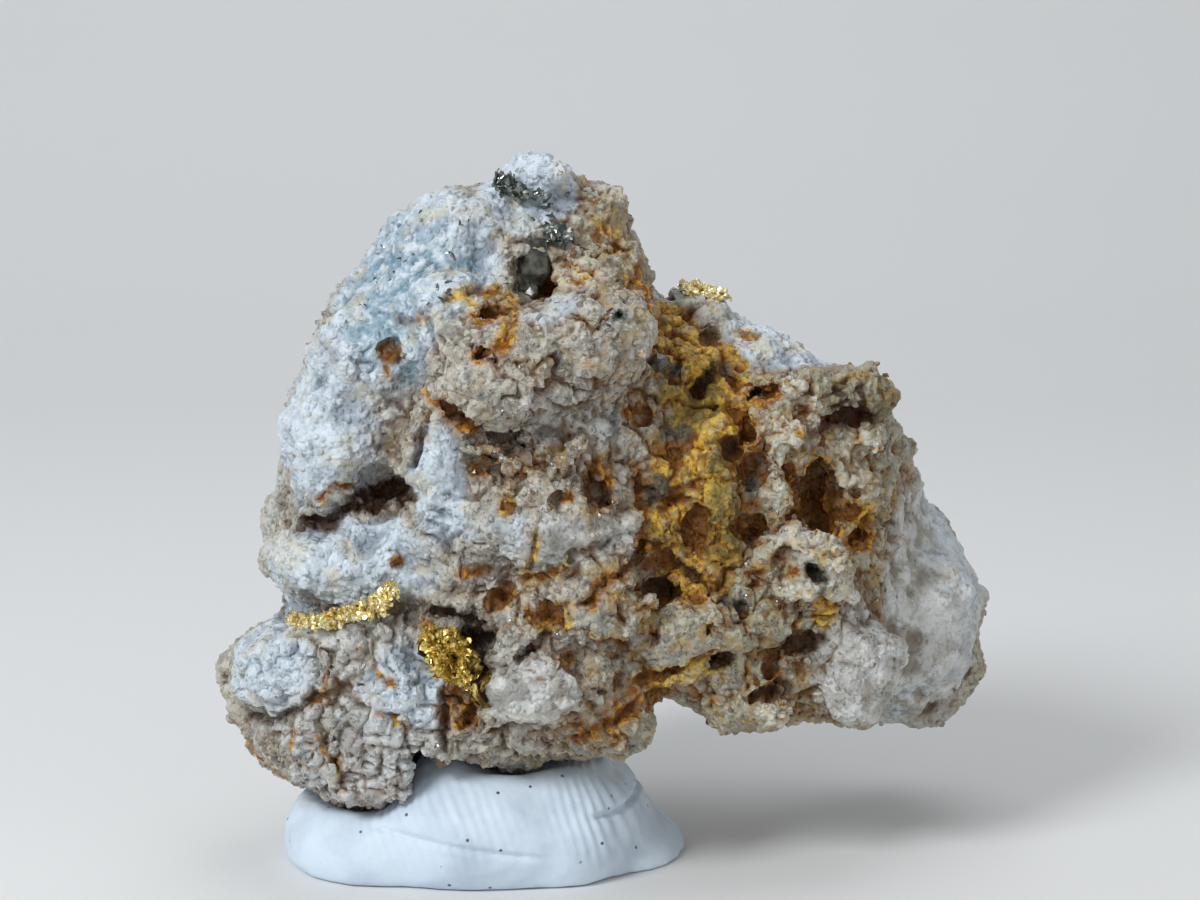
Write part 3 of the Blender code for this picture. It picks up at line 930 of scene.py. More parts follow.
# Near-black between the lumps: painted shade, mottled with dark smoky glass.
SMOKE_ZONES = zones(
    ((2.75, -4.7, 19.8), (0.7, 3.0, 0.9)), ((0.2, -7.0, 17.8), (0.9, 3.0, 0.5), 0.7),
    ((3.5, -3.0, 25.3), (0.8, 3.0, 0.5)), ((4.0, -3.8, 22.1), (1.0, 3.0, 0.45)),
    ((6.4, -2.6, 25.2), (0.5, 3.0, 0.9), 0.9), ((7.5, -3.8, 19.7), (0.5, 3.0, 0.8)),
    ((0.6, -5.6, 22.9), (0.5, 3.0, 1.2), 0.7), ((-3.0, -7.6, 23.0), (1.6, 3.0, 0.5), 0.6),
    ((6.4, -5.2, 14.2), (0.5, 3.0, 0.4), 0.8), ((-5.9, -8.9, 25.9), (0.9, 3.0, 0.4), 0.5),
)
# Dark brown in the clefts and on the right shoulder: painted shade under the overhang and in the recesses
# low down.
UMBER_ZONES = zones(
    ((-10.6, -2.6, 19.0), (2.4, 2.6, 0.9)), ((12.5, -1.7, 23.6), (1.8, 2.4, 1.5), 1.1),
    ((-8.2, -4.0, 5.9), (1.2, 2.4, 1.2), 0.9), ((1.6, -6.3, 8.0), (3.0, 3.0, 0.7), 0.8),
)


class Tint(Enum):
    """The colour that a lump, a hollow or a seam takes: OCHRE and RUST are iron stain, DARK is painted
    shade.
    """

    PLAIN = "plain"
    PALE = "pale"
    OCHRE = "ochre"
    RUST = "rust"
    DARK = "dark"
    GREEN = "green"


PLAIN, PALE, OCHRE, RUST, DARK, GREEN = Tint


@dataclass(frozen=True)
class Egg:
    """A lumpy ellipsoid, turned clockwise as seen from the front, to add to or take from the stone."""

    tint: Tint
    middle: Triple
    half: Triple
    turn: float = 0.0
    lumpy: float = 0.50
    soak: float = 0.8
    edge: tuple[float, float] = (0.85, 1.35)

    def build(self) -> Object:
        """Makes the egg.

        Returns:
            Its mesh.
        """
        bpy.ops.object.select_all(action="DESELECT")
        bpy.ops.mesh.primitive_ico_sphere_add(subdivisions=4, radius=1.0)
        made = bpy.context.object
        turn = math.radians(self.turn)
        shape = np.array([corner.co[:] for corner in made.data.vertices])
        shape = shape * self.half
        across = shape[:, 0] * math.cos(turn) + shape[:, 2] * math.sin(turn)
        shape[:, 2] = shape[:, 2] * math.cos(turn) - shape[:, 0] * math.sin(turn)
        shape[:, 0] = across
        shape = shape * (1.0 + self.lumpy * wave(shape + self.middle, 0.8, 150, 3))[:, None]
        move_to(made, shape + self.middle)
        return made

    def weight(self, points: Points) -> np.ndarray:
        """Reads how strongly the egg's tint holds.

        Args:
            points: Places in millimetres.

        Returns:
            A share from 0 to 1 for each place.
        """
        turn = math.radians(self.turn)
        away = points - self.middle
        across = (away[:, 0] * math.cos(turn) - away[:, 2] * math.sin(turn)) / self.half[0]
        up = (away[:, 2] * math.cos(turn) + away[:, 0] * math.sin(turn)) / self.half[2]
        deep = away[:, 1] / (self.half[1] + self.soak)
        return 1.0 - smooth(np.sqrt(across**2 + up**2 + deep**2), *self.edge)


@dataclass(frozen=True)
class Channel:
    """A narrow stained seam that runs between lumps of quartz."""

    tint: Tint
    width: float
    depth: float
    path: tuple[Triple, ...]
    squash: Triple = (1.0, 0.45, 1.0)

    def gap(self, points: Points) -> np.ndarray:
        """Measures from the seam's middle line, with depth counted for less.

        Args:
            points: Places in millimetres.

        Returns:
            How far each place lies from the line.
        """
        best = np.full(len(points), np.inf)
        squash = np.array(self.squash)
        for start, end in zip(self.path, self.path[1:]):
            foot = np.array(start) * squash
            along = np.array(end) * squash - foot
            away = points * squash - foot
            part = np.clip(away @ along / (along @ along), 0.0, 1.0)
            best = np.minimum(best, np.linalg.norm(away - part[:, None] * along, axis=1))
        return best

    def weight(self, points: Points) -> np.ndarray:
        """How strongly the seam's tint holds at each point, from 0 to 1."""
        return 1.0 - smooth(self.gap(points), 0.6 * self.width, 1.9 * self.width)

    def cut(self, points: Points) -> np.ndarray:
        """How far the seam lies below the stone at each point, in millimetres."""
        return self.depth * (1.0 - smooth(self.gap(points), 0.25 * self.width, 1.2 * self.width))


def eggs(*rows: tuple) -> tuple[Egg, ...]:
    """Makes eggs from rows of a tint, a middle, a half size and then any turn and lumpiness."""
    return tuple(Egg(*row) for row in rows)


def channels(*rows: tuple) -> tuple[Channel, ...]:
    """Makes channels from rows of a tint, a width, a depth and then the corners of the path."""
    return tuple(Channel(*row[:3], row[3:]) for row in rows)


# Lumps that stand out of the stone.
LUMPS = eggs(
    (PLAIN, (-9.2, -4.7, 26.9), (0.8, 0.7, 0.9)), (PLAIN, (-11.0, -4.4, 26.7), (0.8, 0.6, 0.7)),
    (PLAIN, (-10.1, -4.1, 27.4), (1.0, 0.6, 0.6)), (PLAIN, (-9.6, -4.5, 25.6), (0.9, 0.7, 0.6)),
    (PLAIN, (-9.0, -6.9, 22.0), (0.6, 0.7, 0.8)), (PALE, (9.4, -3.0, 24.4), (0.7, 0.7, 0.7)),
    (PALE, (10.5, -2.8, 23.3), (0.6, 0.8, 0.95)), (PALE, (8.7, -3.9, 22.3), (1.1, 0.7, 0.9), 15.0),
    (PALE, (8.6, -3.7, 20.8), (0.6, 0.7, 0.6)), (PALE, (8.7, -3.6, 19.3), (0.45, 0.6, 1.0), -5.0),
    (PALE, (13.0, -1.2, 21.5), (1.5, 0.8, 0.75), -20.0),
    (PALE, (12.3, -1.8, 19.7), (0.85, 0.7, 0.9), -15.0),
    (PALE, (10.2, -5.0, 16.9), (1.2, 0.7, 0.75), -40.0),
    (PALE, (11.3, -5.0, 15.9), (0.45, 0.7, 1.1), 10.0),
    (PALE, (9.8, -5.1, 14.8), (1.3, 0.7, 0.55), 5.0),
    (PALE, (9.1, -4.8, 17.4), (1.0, 0.6, 0.5), -35.0),
    (PALE, (11.9, -4.5, 14.6), (0.8, 0.6, 0.6), 20.0),
    (PLAIN, (12.3, -1.5, 24.0), (1.0, 0.7, 1.0), 10.0),
    (PLAIN, (0.0, -1.4, 33.2), (0.7, 0.6, 0.7), 20.0),
    (PLAIN, (5.3, 3.6, 27.65), (1.7, 1.4, 0.55), 12.0, 0.3),
    (PLAIN, (-2.3, -1.6, 34.8), (0.9, 0.9, 0.6), 10.0, 0.3),
    (PLAIN, (-2.0, -0.6, 34.4), (0.8, 0.9, 0.7), -15.0, 0.3),
    (PLAIN, (6.1, -4.9, 18.6), (0.5, 0.6, 2.8)), (OCHRE, (4.8, -4.9, 17.2), (0.28, 0.6, 0.6), 8.0),
    (PLAIN, (3.3, -4.8, 17.6), (0.5, 0.6, 1.2), 10.0),
    (PLAIN, (8.0, -4.4, 16.4), (0.7, 0.7, 0.9), 20.0),
    (PLAIN, (7.6, -3.4, 21.0), (0.35, 0.6, 1.4), -10.0),
    (PLAIN, (-5.4, -8.7, 25.3), (2.0, 0.9, 1.0), 12.0, 0.15),
    (PLAIN, (-4.6, -8.2, 21.7), (2.2, 0.7, 0.35), 20.0),
    (PLAIN, (-1.6, -7.5, 21.9), (1.4, 0.7, 0.4), -35.0),
    (PLAIN, (-2.0, -8.0, 17.6), (1.0, 0.6, 1.2), 5.0),
    (PLAIN, (1.1, -6.4, 18.4), (1.3, 0.6, 0.5), -22.0),
    (PLAIN, (0.8, -6.9, 17.0), (1.1, 0.6, 0.5), -35.0),
    (PLAIN, (1.2, -7.0, 14.2), (2.0, 0.6, 0.6), -15.0),
    (PLAIN, (-3.2, -8.5, 10.5), (2.2, 0.8, 1.5), 0.0, 0.15),
    (PLAIN, (-0.4, -7.0, 10.8), (1.0, 0.6, 1.5), 10.0, 0.2),
    (PLAIN, (3.0, -6.0, 12.4), (1.6, 0.6, 0.9), -20.0, 0.25),
    (OCHRE, (3.8, -5.6, 10.5), (2.6, 0.6, 0.3), -14.0), (PALE, (8.7, -5.0, 8.6), (0.8, 0.6, 0.7)),
    (PLAIN, (0.2, -5.4, 23.1), (0.8, 0.6, 0.9)),
)
# Hollows that go into it.
HOLLOWS = eggs(
    (RUST, (-2.4, -3.1, 29.2), (0.8, 1.0, 0.6), 10.0),
    (RUST, (-5.0, -6.2, 28.5), (1.25, 0.8, 0.4), -12.0),
    (RUST, (-4.6, -8.0, 27.3), (0.35, 0.6, 0.5)), (RUST, (-5.6, -8.6, 26.8), (0.4, 0.5, 0.36)),
    (RUST, (-10.1, -5.0, 26.35), (0.42, 0.4, 0.48), 0.0, 0.9),
    (OCHRE, (-10.45, -5.0, 26.45), (0.24, 0.4, 0.3), 25.0, 0.9),
    (RUST, (-10.1, -5.1, 26.85), (0.26, 0.4, 0.18), -30.0, 0.9),
    (OCHRE, (-9.7, -5.1, 26.6), (0.22, 0.4, 0.28), 40.0, 0.9),
    (DARK, (-9.8, -5.0, 26.1), (0.2, 0.4, 0.24), 0.0, 0.9),
    (OCHRE, (-10.2, -5.0, 26.0), (0.22, 0.4, 0.18), 15.0, 0.9),
    (RUST, (-10.3, -5.0, 25.55), (0.16, 0.4, 0.24), -20.0, 0.9),
    (GREEN, (0.9, -7.2, 28.5), (0.34, 0.8, 0.32), 40.0),
    (RUST, (-6.7, -8.1, 23.7), (1.1, 0.6, 0.55), 45.0),
    (PLAIN, (-4.3, -7.5, 22.6), (1.0, 0.6, 0.5), 25.0), (DARK, (5.6, 0.2, 26.6), (0.55, 0.9, 0.55)),
    (RUST, (3.3, -0.7, 26.7), (0.36, 0.5, 0.16), 10.0),
    (RUST, (2.2, -3.2, 29.0), (0.5, 0.7, 0.9), -10.0),
    (DARK, (5.4, -2.7, 24.9), (1.4, 0.9, 0.42), -50.0),
    (RUST, (8.0, -2.4, 24.0), (1.1, 1.0, 0.45), -15.0),
    (RUST, (7.1, -3.5, 22.6), (0.55, 0.8, 0.9), -30.0),
    (DARK, (12.6, -2.1, 22.8), (1.3, 0.7, 0.35), 5.0),
    (RUST, (1.9, -4.9, 23.4), (0.95, 0.7, 0.45), 15.0),
    (RUST, (0.0, -7.0, 20.4), (0.75, 0.8, 1.35), 5.0),
    (OCHRE, (-4.4, -8.9, 19.5), (0.42, 0.5, 0.4)), (RUST, (-1.7, -8.6, 20.0), (0.65, 0.5, 0.28)),
    (PLAIN, (-4.5, -7.9, 21.1), (1.0, 0.5, 0.3)),
    (RUST, (-6.0, -7.9, 16.2), (1.2, 0.5, 0.32), -4.0),
    (RUST, (-4.8, -7.4, 14.8), (0.9, 0.5, 0.42), -25.0),
    (OCHRE, (-2.5, -8.3, 14.2), (1.0, 0.6, 0.65)),
    (DARK, (-3.1, -8.5, 12.8), (1.15, 0.7, 0.28), -38.0),
    (RUST, (-1.5, -7.7, 12.0), (0.42, 0.5, 0.34)),
    (RUST, (10.7, -2.3, 19.0), (1.2, 1.2, 2.0), -10.0),
    (RUST, (9.3, -3.2, 17.9), (0.9, 1.0, 0.5), -55.0), (OCHRE, (12.6, -2.4, 18.0), (1.4, 0.7, 0.4)),
    (RUST, (13.0, -2.0, 16.6), (1.1, 0.8, 0.5), 10.0),
    (GREEN, (10.5, -5.6, 15.7), (0.75, 0.7, 0.42), 35.0, 0.9),
    (RUST, (9.3, -5.5, 15.7), (0.5, 0.5, 0.22), -40.0, 0.9),
    (RUST, (4.6, -4.9, 17.7), (0.6, 0.7, 0.95)), (DARK, (6.4, -4.5, 21.6), (0.45, 0.8, 0.6), 10.0),
    (RUST, (7.5, -4.1, 20.4), (0.55, 0.8, 0.8)), (DARK, (4.3, -5.3, 15.7), (0.9, 0.6, 0.3), 35.0),
    (RUST, (5.2, -5.3, 15.4), (0.4, 0.4, 0.22)), (RUST, (7.4, -4.6, 18.6), (0.4, 0.8, 0.6)),
    (DARK, (3.0, -5.1, 14.8), (1.0, 0.5, 0.4), 10.0), (DARK, (5.8, -5.7, 11.4), (0.8, 0.8, 0.5)),
    (DARK, (10.0, -4.4, 11.9), (1.1, 0.8, 0.6), -5.0),
    (DARK, (8.6, -5.3, 9.6), (1.3, 0.6, 0.4), -8.0),
    (RUST, (8.5, -4.8, 11.0), (0.5, 0.6, 0.8), 20.0),
    (GREEN, (6.9, -5.6, 14.1), (0.35, 0.6, 0.5), 10.0),
    (RUST, (-7.0, -7.5, 10.1), (0.5, 0.6, 0.8), 10.0), (RUST, (-6.5, -7.3, 8.8), (0.6, 0.6, 0.6)),
    (DARK, (-8.2, -4.2, 5.9), (0.8, 1.0, 0.8)), (DARK, (-13.7, -4.0, 17.9), (0.9, 0.6, 0.42), 10.0),
    (RUST, (-9.8, -6.0, 16.3), (0.35, 0.5, 0.32)),
    (DARK, (-6.0, -7.2, 12.9), (1.1, 1.1, 1.1), 30.0), (DARK, (-5.6, -8.2, 11.8), (0.6, 0.8, 0.6)),
    (DARK, (-7.3, -7.6, 14.1), (1.6, 1.0, 0.5), 15.0), (RUST, (-8.4, -7.7, 13.3), (0.4, 0.7, 0.7)),
)
# Seams that run over it.
CHANNELS = channels(
    (RUST, 0.34, 0.4, (1.9, -5.3, 20.4), (2.0, -5.5, 18.6), (2.1, -5.4, 17.1), (1.4, -6.2, 16.4)),
    (RUST, 0.32, 0.45, (1.4, -6.2, 16.4), (0.6, -7.8, 16.0), (-0.1, -8.1, 15.5), (-0.4, -8.3, 14.8)),
    (OCHRE, 0.16, 0.3, (-3.0, -8.9, 18.4), (-3.2, -8.6, 17.1), (-3.7, -7.8, 15.9)),
    (OCHRE, 0.26, 0.4, (-3.7, -7.8, 15.9), (-2.6, -8.1, 16.0), (-1.7, -8.0, 16.4)),
    (RUST, 0.2, 0.32, (-0.1, -7.4, 12.8), (0.6, -7.4, 13.0), (1.3, -6.6, 12.3)),
    (OCHRE, 0.24, 0.3, (1.7, -6.2, 10.5), (3.8, -5.9, 11.1), (4.9, -6.7, 11.6), (5.7, -6.5, 12.0)),
    (RUST, 0.35, 0.4, (-1.0, -7.0, 7.9), (0.6, -7.2, 8.7), (1.7, -6.3, 9.3)),
    (RUST, 0.3, 0.4, (-6.0, -8.4, 11.4), (-6.2, -7.3, 9.8), (-6.5, -7.2, 8.6)),
    (RUST, 0.3, 0.35, (-5.9, -7.7, 21.2), (-4.5, -8.0, 21.1), (-3.1, -7.7, 21.4)),
    (RUST, 0.28, 0.35, (-8.3, -6.0, 24.7), (-7.4, -8.3, 24.7), (-6.6, -8.0, 23.8), (-5.8, -7.7, 23.1)),
    (OCHRE, 0.2, 0.3, (-5.7, -7.5, 22.2), (-4.7, -7.7, 21.7), (-3.1, -8.0, 21.1)),
    (DARK, 0.2, 0.6, (-8.4, -7.3, 23.1), (-8.6, -7.6, 22.2), (-8.8, -7.6, 21.4)),
    (DARK, 0.24, 0.4, (-14.6, -3.7, 18.0), (-13.0, -3.9, 18.0), (-12.3, -3.7, 18.6)),
    (RUST, 0.16, 0.3, (-13.7, -4.4, 19.1), (-12.9, -4.7, 19.9), (-12.1, -3.8, 19.8)),
    (DARK, 0.16, 0.4, (-17.7, -1.6, 7.7), (-16.4, -3.6, 7.7), (-15.2, -5.1, 8.6), (-14.1, -5.8, 9.4)),
    (RUST, 0.3, 0.5, (-14.1, -5.8, 9.4), (-13.0, -5.9, 9.9), (-12.4, -6.1, 10.1)),
    (RUST, 0.2, 0.3, (-18.5, -0.2, 6.9), (-17.8, -0.9, 5.6), (-16.4, -1.6, 4.4), (-14.0, -1.6, 3.1)),
    (DARK, 0.2, 0.5, (-7.6, -7.2, 10.3), (-7.5, -7.0, 9.2), (-7.7, -7.0, 8.0), (-7.5, -7.0, 7.2)),
    (RUST, 0.14, 0.3, (-13.5, -6.2, 7.8), (-13.3, -6.5, 6.9), (-12.9, -6.4, 6.1)),
    (RUST, 0.14, 0.3, (-15.2, -5.1, 8.6), (-14.8, -5.8, 7.7), (-15.2, -5.9, 6.5)),
    (RUST, 0.14, 0.3, (-12.1, -6.4, 9.6), (-11.1, -7.3, 9.2), (-9.7, -7.5, 8.9)),
    (RUST, 0.12, 0.25, (-14.1, -5.7, 12.4), (-13.1, -5.9, 11.5), (-13.5, -5.8, 9.9)),
    (RUST, 0.12, 0.25, (-11.6, -6.3, 12.1), (-11.0, -6.7, 11.1), (-9.9, -7.1, 10.6)),
    (OCHRE, 0.26, 0.25, (-7.2, -6.4, 29.2), (-6.2, -5.6, 29.5), (-4.8, -4.6, 29.4), (-3.9, -5.2, 29.0)),
    (RUST, 0.3, 0.35, (-4.2, -7.6, 28.4), (-4.4, -8.6, 27.6), (-5.0, -8.9, 26.7)),
    (PLAIN, 0.24, 0.35, (-8.1, -6.5, 28.2), (-8.0, -6.7, 27.0), (-7.5, -8.0, 26.0)),
    (PLAIN, 0.22, 0.3, (-2.8, -9.0, 25.0), (-1.9, -7.6, 24.1), (-0.5, -6.4, 24.2), (0.5, -6.3, 24.7)),
    (PLAIN, 0.2, 0.3, (-1.9, -8.2, 26.5), (-0.7, -7.7, 25.5), (0.5, -6.3, 24.8)),
    (RUST, 0.35, 0.35, (2.0, -1.9, 30.1), (1.7, -3.4, 29.3), (2.4, -3.2, 28.5)),
    (RUST, 0.35, 0.4, (6.3, -1.0, 25.9), (6.3, -1.6, 25.1), (6.7, -2.6, 24.1)),
    (RUST, 0.35, 0.4, (6.4, -3.4, 23.4), (7.0, -4.0, 22.5), (7.9, -4.5, 21.5)),
    (RUST, 0.35, 0.35, (9.3, -3.5, 20.4), (9.8, -2.8, 18.8), (10.6, -2.8, 17.5), (11.8, -3.4, 17.4)),
    (DARK, 0.25, 0.4, (11.2, -2.2, 22.7), (12.3, -1.7, 22.4), (13.6, -1.2, 22.6)),
    (RUST, 0.3, 0.4, (9.1, -4.5, 17.1), (8.3, -4.5, 16.1), (7.4, -4.7, 15.6)),
    (RUST, 0.3, 0.3, (2.9, -5.0, 15.0), (3.9, -5.4, 14.6), (4.9, -5.6, 14.4)),
    (DARK, 0.16, 0.35, (8.9, -5.3, 16.9), (9.9, -5.9, 16.4), (10.5, -5.9, 15.6), (10.9, -5.7, 14.6)),
    (OCHRE, 0.14, 0.35, (10.4, -5.9, 17.0), (11.0, -5.8, 16.5), (11.6, -5.4, 16.6)),
    (RUST, 0.3, 0.35, (8.4, -4.7, 11.4), (8.8, -4.6, 10.4), (8.3, -5.4, 9.4)),
    (RUST, 0.2, 0.3, (-9.6, -4.5, 28.0), (-9.0, -5.9, 28.0), (-8.5, -6.4, 28.4)),
    (RUST, 0.3, 0.4, (6.0, -4.7, 22.1), (6.6, -4.3, 21.6), (6.8, -4.1, 20.5)),
)
# Where small bubbles have eaten into it.
HONEYCOMB = zones(
    ((4.8, -4.4, 18.6), (3.8, 4.0, 5.5)), ((4.9, -2.4, 24.4), (3.2, 4.0, 3.6)),
    ((11.0, -2.8, 19.0), (2.6, 3.0, 3.0), 0.8),
)


def tinted(forms: Sequence[Egg | Channel], tint: Tint, points: Points) -> np.ndarray:
    """How strongly forms of one tint hold at each point, from 0 to 1."""
    weights = [form.weight(points) for form in forms if form.tint is tint]
    return np.max([np.zeros(len(points)), *weights], axis=0)


@dataclass(frozen=True, eq=False)
class Stain:
    """Where the quartz is chalky, where iron has coloured it, and where shade is painted into pits, clefts
    and gaps.

    Attributes:
        points: Places on the stone.
        hollow: How far each lies below the stone's general surface, in millimetres.
        cleft: How far each lies in a narrow seam of the stone, from 0 to 1.
        wander: How far the zones' edges stray, in millimetres.
        waver: How far the edges of lumps, hollows and channels stray.
    """

    points: Points
    hollow: np.ndarray
    cleft: np.ndarray
    wander: float = 0.55
    waver: float = 0.22

    @cached_property
    def moved(self) -> Points:
        """The places that zones are read at."""
        return self.points + self.wander * drift(self.points, 1.9, 400)

    @cached_property
    def near(self) -> Points:
        """The places that lumps, hollows and channels are read at."""
        return self.points + self.waver * drift(self.points, 0.8, 450)

    @cached_property
    def blotch(self) -> np.ndarray:
        """Random hills a little over a millimetre wide."""
        return wave(self.points, 1.3, 430, 3)

    @cached_property
    def fine(self) -> np.ndarray:
        """Random hills about half a millimetre wide."""
        return wave(self.points, 0.45, 440, 2)

    @cached_property
    def cup(self) -> np.ndarray:
        """How hollow the stone is, from 0 to 1."""
        return smooth(self.hollow, 0.0, 0.28)

    @cached_property
    def rise(self) -> np.ndarray:
        """How far the stone stands out, from 0 to 1."""
        return smooth(-self.hollow, 0.02, 0.25)

    @cached_property
    def back(self) -> np.ndarray:
        """How far round the back each place is, from 0 to 1."""
        return smooth(self.points[:, 1], 0.5, 3.5)

    @cached_property
    def right(self) -> np.ndarray:
        """How far each place lies in the right half, short of its flank, from 0 to 1."""
        return smooth(self.points[:, 0], -7.0, 2.0) * (1.0 - smooth(self.points[:, 0], 14.0, 17.0))

    @cached_property
    def low(self) -> np.ndarray:
        """How far each place lies in the foot of the stone, from 0 to 1."""
        return 1.0 - smooth(self.points[:, 2] + 0.6 * self.blotch, 5.5, 10.0)

    @cached_property
    def pale(self) -> np.ndarray:
        """Where the pale lumps are."""
        return tinted(LUMPS, PALE, self.near)

    def form(self, tint: Tint) -> np.ndarray:
        """Where hollows, channels and lumps of one tint are."""
        return tinted((*HOLLOWS, *CHANNELS, *LUMPS), tint, self.near)

    def patches(
        self,
        several: Sequence[Zone],
        low: float,
        high: float,
        blotch: float = 0.0,
        fine: float = 0.0,
        cup: float = 0.0,
        rise: float = 0.0,
        pale: float = 0.0,
    ) -> np.ndarray:
        """Reads zones with ragged edges.

        Args:
            several: The zones.
            low: The level from which they show.
            high: The level from which they show in full.
            blotch: How much the wider hills add to the level.
            fine: How much the finer hills add.
            cup: How much a hollow adds.
            rise: How much a rise takes away.
            pale: What share of the zones a pale lump keeps off.

        Returns:
            Shares from 0 to 1.
        """
        level = covered(several, self.moved) * (1.0 - pale * self.pale)
        level = level + blotch * self.blotch + fine * self.fine + cup * self.cup - rise * self.rise
        return smooth(level, low, high)

    @cached_property
    def chalk(self) -> np.ndarray:
        """Chalk, in its zones and in broad patches on the back."""
        patch = self.back * smooth(wave(self.points, 7.0, 470, 3), -0.25, 0.25)
        return np.maximum(self.patches(CHALK_ZONES, 0.20, 0.80, 0.30, 0.15), patch)

    @cached_property
    def grey(self) -> np.ndarray:
        """Grey, frosty quartz."""
        return self.patches(GREY_ZONES, 0.20, 0.80, 0.30, 0.15)

    @cached_property
    def rusty(self) -> np.ndarray:
        """How much iron there is: most on the right, some at the left foot and little in chalk."""
        iron = (0.30 + 0.70 * self.right) * (1.0 - 0.85 * self.chalk) * (1.0 - 0.65 * self.grey)
        return np.maximum(iron, 0.5 * self.low * (1.0 - self.right))

    def cream(self) -> np.ndarray:
        """Cream crusts in their zones and on pale lumps."""
        crust = self.patches(CREAM_ZONES, 0.2, 0.9, 0.25) * 0.85
        return np.maximum(crust, 0.95 * self.pale * (0.35 + 0.65 * self.rise))

    def ochre(self) -> np.ndarray:
        """Reads the ochre, in its zones and forms and in patches on the back.

        Returns:
            Shares from 0 to 1.
        """
        front = self.patches(OCHRE_ZONES, 0.42, 0.90, 0.32, 0.25, 0.30, 0.20, 0.9)
        front = np.maximum(front, self.form(OCHRE) * smooth(self.fine + 0.4, -0.3, 0.3))
        iron = self.back * (1.0 - smooth(self.points[:, 0], 12.0, 15.0))
        patch = smooth(wave(self.points, 4.0, 480, 3) + 0.2 * self.cup, 0.28, 0.5)
        return np.maximum(front, 0.9 * iron * patch)

    def rust(self) -> np.ndarray:
        """Reads the rust, in its zones and forms and in every seam and hollow near iron.

        Returns:
            Shares from 0 to 1.
        """
        rust = self.patches(RUST_ZONES, 0.45, 0.90, 0.35, 0.30, 0.35, 0.35, 0.9)
        rust = np.maximum(rust, self.form(RUST))
        rust = np.maximum(rust, self.cleft * np.minimum(1.3 * self.rusty, 1.0))
        soaked = self.cup * smooth(self.blotch + 0.7 * self.rusty, -0.1, 0.6) * self.rusty
        return np.maximum(rust, soaked) * (1.0 - 0.8 * self.pale * self.rise)

    def umber_and_shade(self) -> np.ndarray:
        """Reads the dark brown: painted shade in most of its zones and in the dark pits and crevices, and
        dark seams low on the left.

        Returns:
            Shares from 0 to 1.
        """
        dirt = self.patches(UMBER_ZONES, 0.62, 1.15, 0.20, 0.2, 0.4, 0.6, 0.8)
        # Painted shade: the DARK pits and crevices, a little lighter where they stand out.
        dirt = np.maximum(dirt, 0.9 * self.form(DARK) * (1.0 - 0.5 * self.rise))
        return np.maximum(dirt, 0.7 * smooth(self.cleft, 0.45, 0.8) * self.low * (1.0 - self.right))

    def warm(self) -> np.ndarray:
        """Reads where the plain quartz is beige, more towards the right and the foot.

        Returns:
            Shares from 0 to 1.
        """
        warm = smooth(self.points[:, 0] - 0.35 * self.points[:, 2], -9.0, 3.0)
        warm = np.maximum(warm, covered(WARM_ZONES, self.moved))
        return warm * (1.0 - 0.75 * self.grey)

    def read(self) -> dict[str, np.ndarray]:
        """Reads every mask.

        Returns:
            One set of shares from 0 to 1 for each mask, by name.
        """
        pit = np.max([form.weight(self.near) for form in HOLLOWS], axis=0)
        return {
            "chalk": self.chalk * (1.0 - 0.5 * self.pale) * (1.0 - 0.85 * pit),
            "cream": self.cream(),
            "cool": self.patches(COOL_ZONES, 0.0, 1.0, fine=0.3),
            "ochre": self.ochre(),
            "grey": self.grey * (1.0 - 0.6 * self.pale),
            "olive": self.patches(OLIVE_ZONES, 0.35, 0.95, 0.35) * 0.85,
            "rust": self.rust(),
            "umber_and_shade": self.umber_and_shade(),
            "smoke_and_shade": self.patches(SMOKE_ZONES, 0.45, 0.85, 0.35, 0.35) * 0.85,
            "green": self.form(GREEN) * 0.9,
            "rusty": self.rusty,
            # How far the stone stands out; the finishes paint shade into the low places by it.
            "rise": smooth(-self.hollow + 0.05 * self.fine, -0.18, 0.22),
            "warm": self.warm(),
        }


# ------------ loose shapes


# On a grain of radius 1: how far from its middle a flat is cut, and the shortest edge that stays.
FLAT_DEPTHS = (0.50, 0.78)
SHORTEST_EDGE = 0.16


def cut_grain(random: np.random.Generator, flats: int) -> tuple[np.ndarray, np.ndarray]:
    """Models one grain, a ball with flats cut on it.

    Args:
        random: The source of chance.
        flats: How many flats are cut.

    Returns:
        Its corners, about 1 from the middle, and its triangles.
    """
    bpy.ops.object.select_all(action="DESELECT")
    bpy.ops.mesh.primitive_ico_sphere_add(subdivisions=1, radius=1.0)
    obj = bpy.context.object
    bpy.ops.object.mode_set(mode="EDIT")
    for _ in range(flats):
        way = Vector(random.normal(size=3)).normalized()
        bpy.ops.mesh.select_all(action="SELECT")
        foot = way * random.uniform(*FLAT_DEPTHS)
        bpy.ops.mesh.bisect(plane_co=foot, plane_no=way, use_fill=True, clear_outer=True)
    bpy.ops.mesh.select_all(action="SELECT")
    bpy.ops.mesh.remove_doubles(threshold=SHORTEST_EDGE)
    bpy.ops.mesh.convex_hull()
    bpy.ops.mesh.quads_convert_to_tris()
    bpy.ops.mesh.normals_make_consistent(inside=False)
    bpy.ops.object.mode_set(mode="OBJECT")
    obj.data.calc_loop_triangles()
    corners = np.array([corner.co[:] for corner in obj.data.vertices])
    faces = np.array([face.vertices[:] for face in obj.data.loop_triangles])
    bpy.data.objects.remove(obj)
    return corners, faces


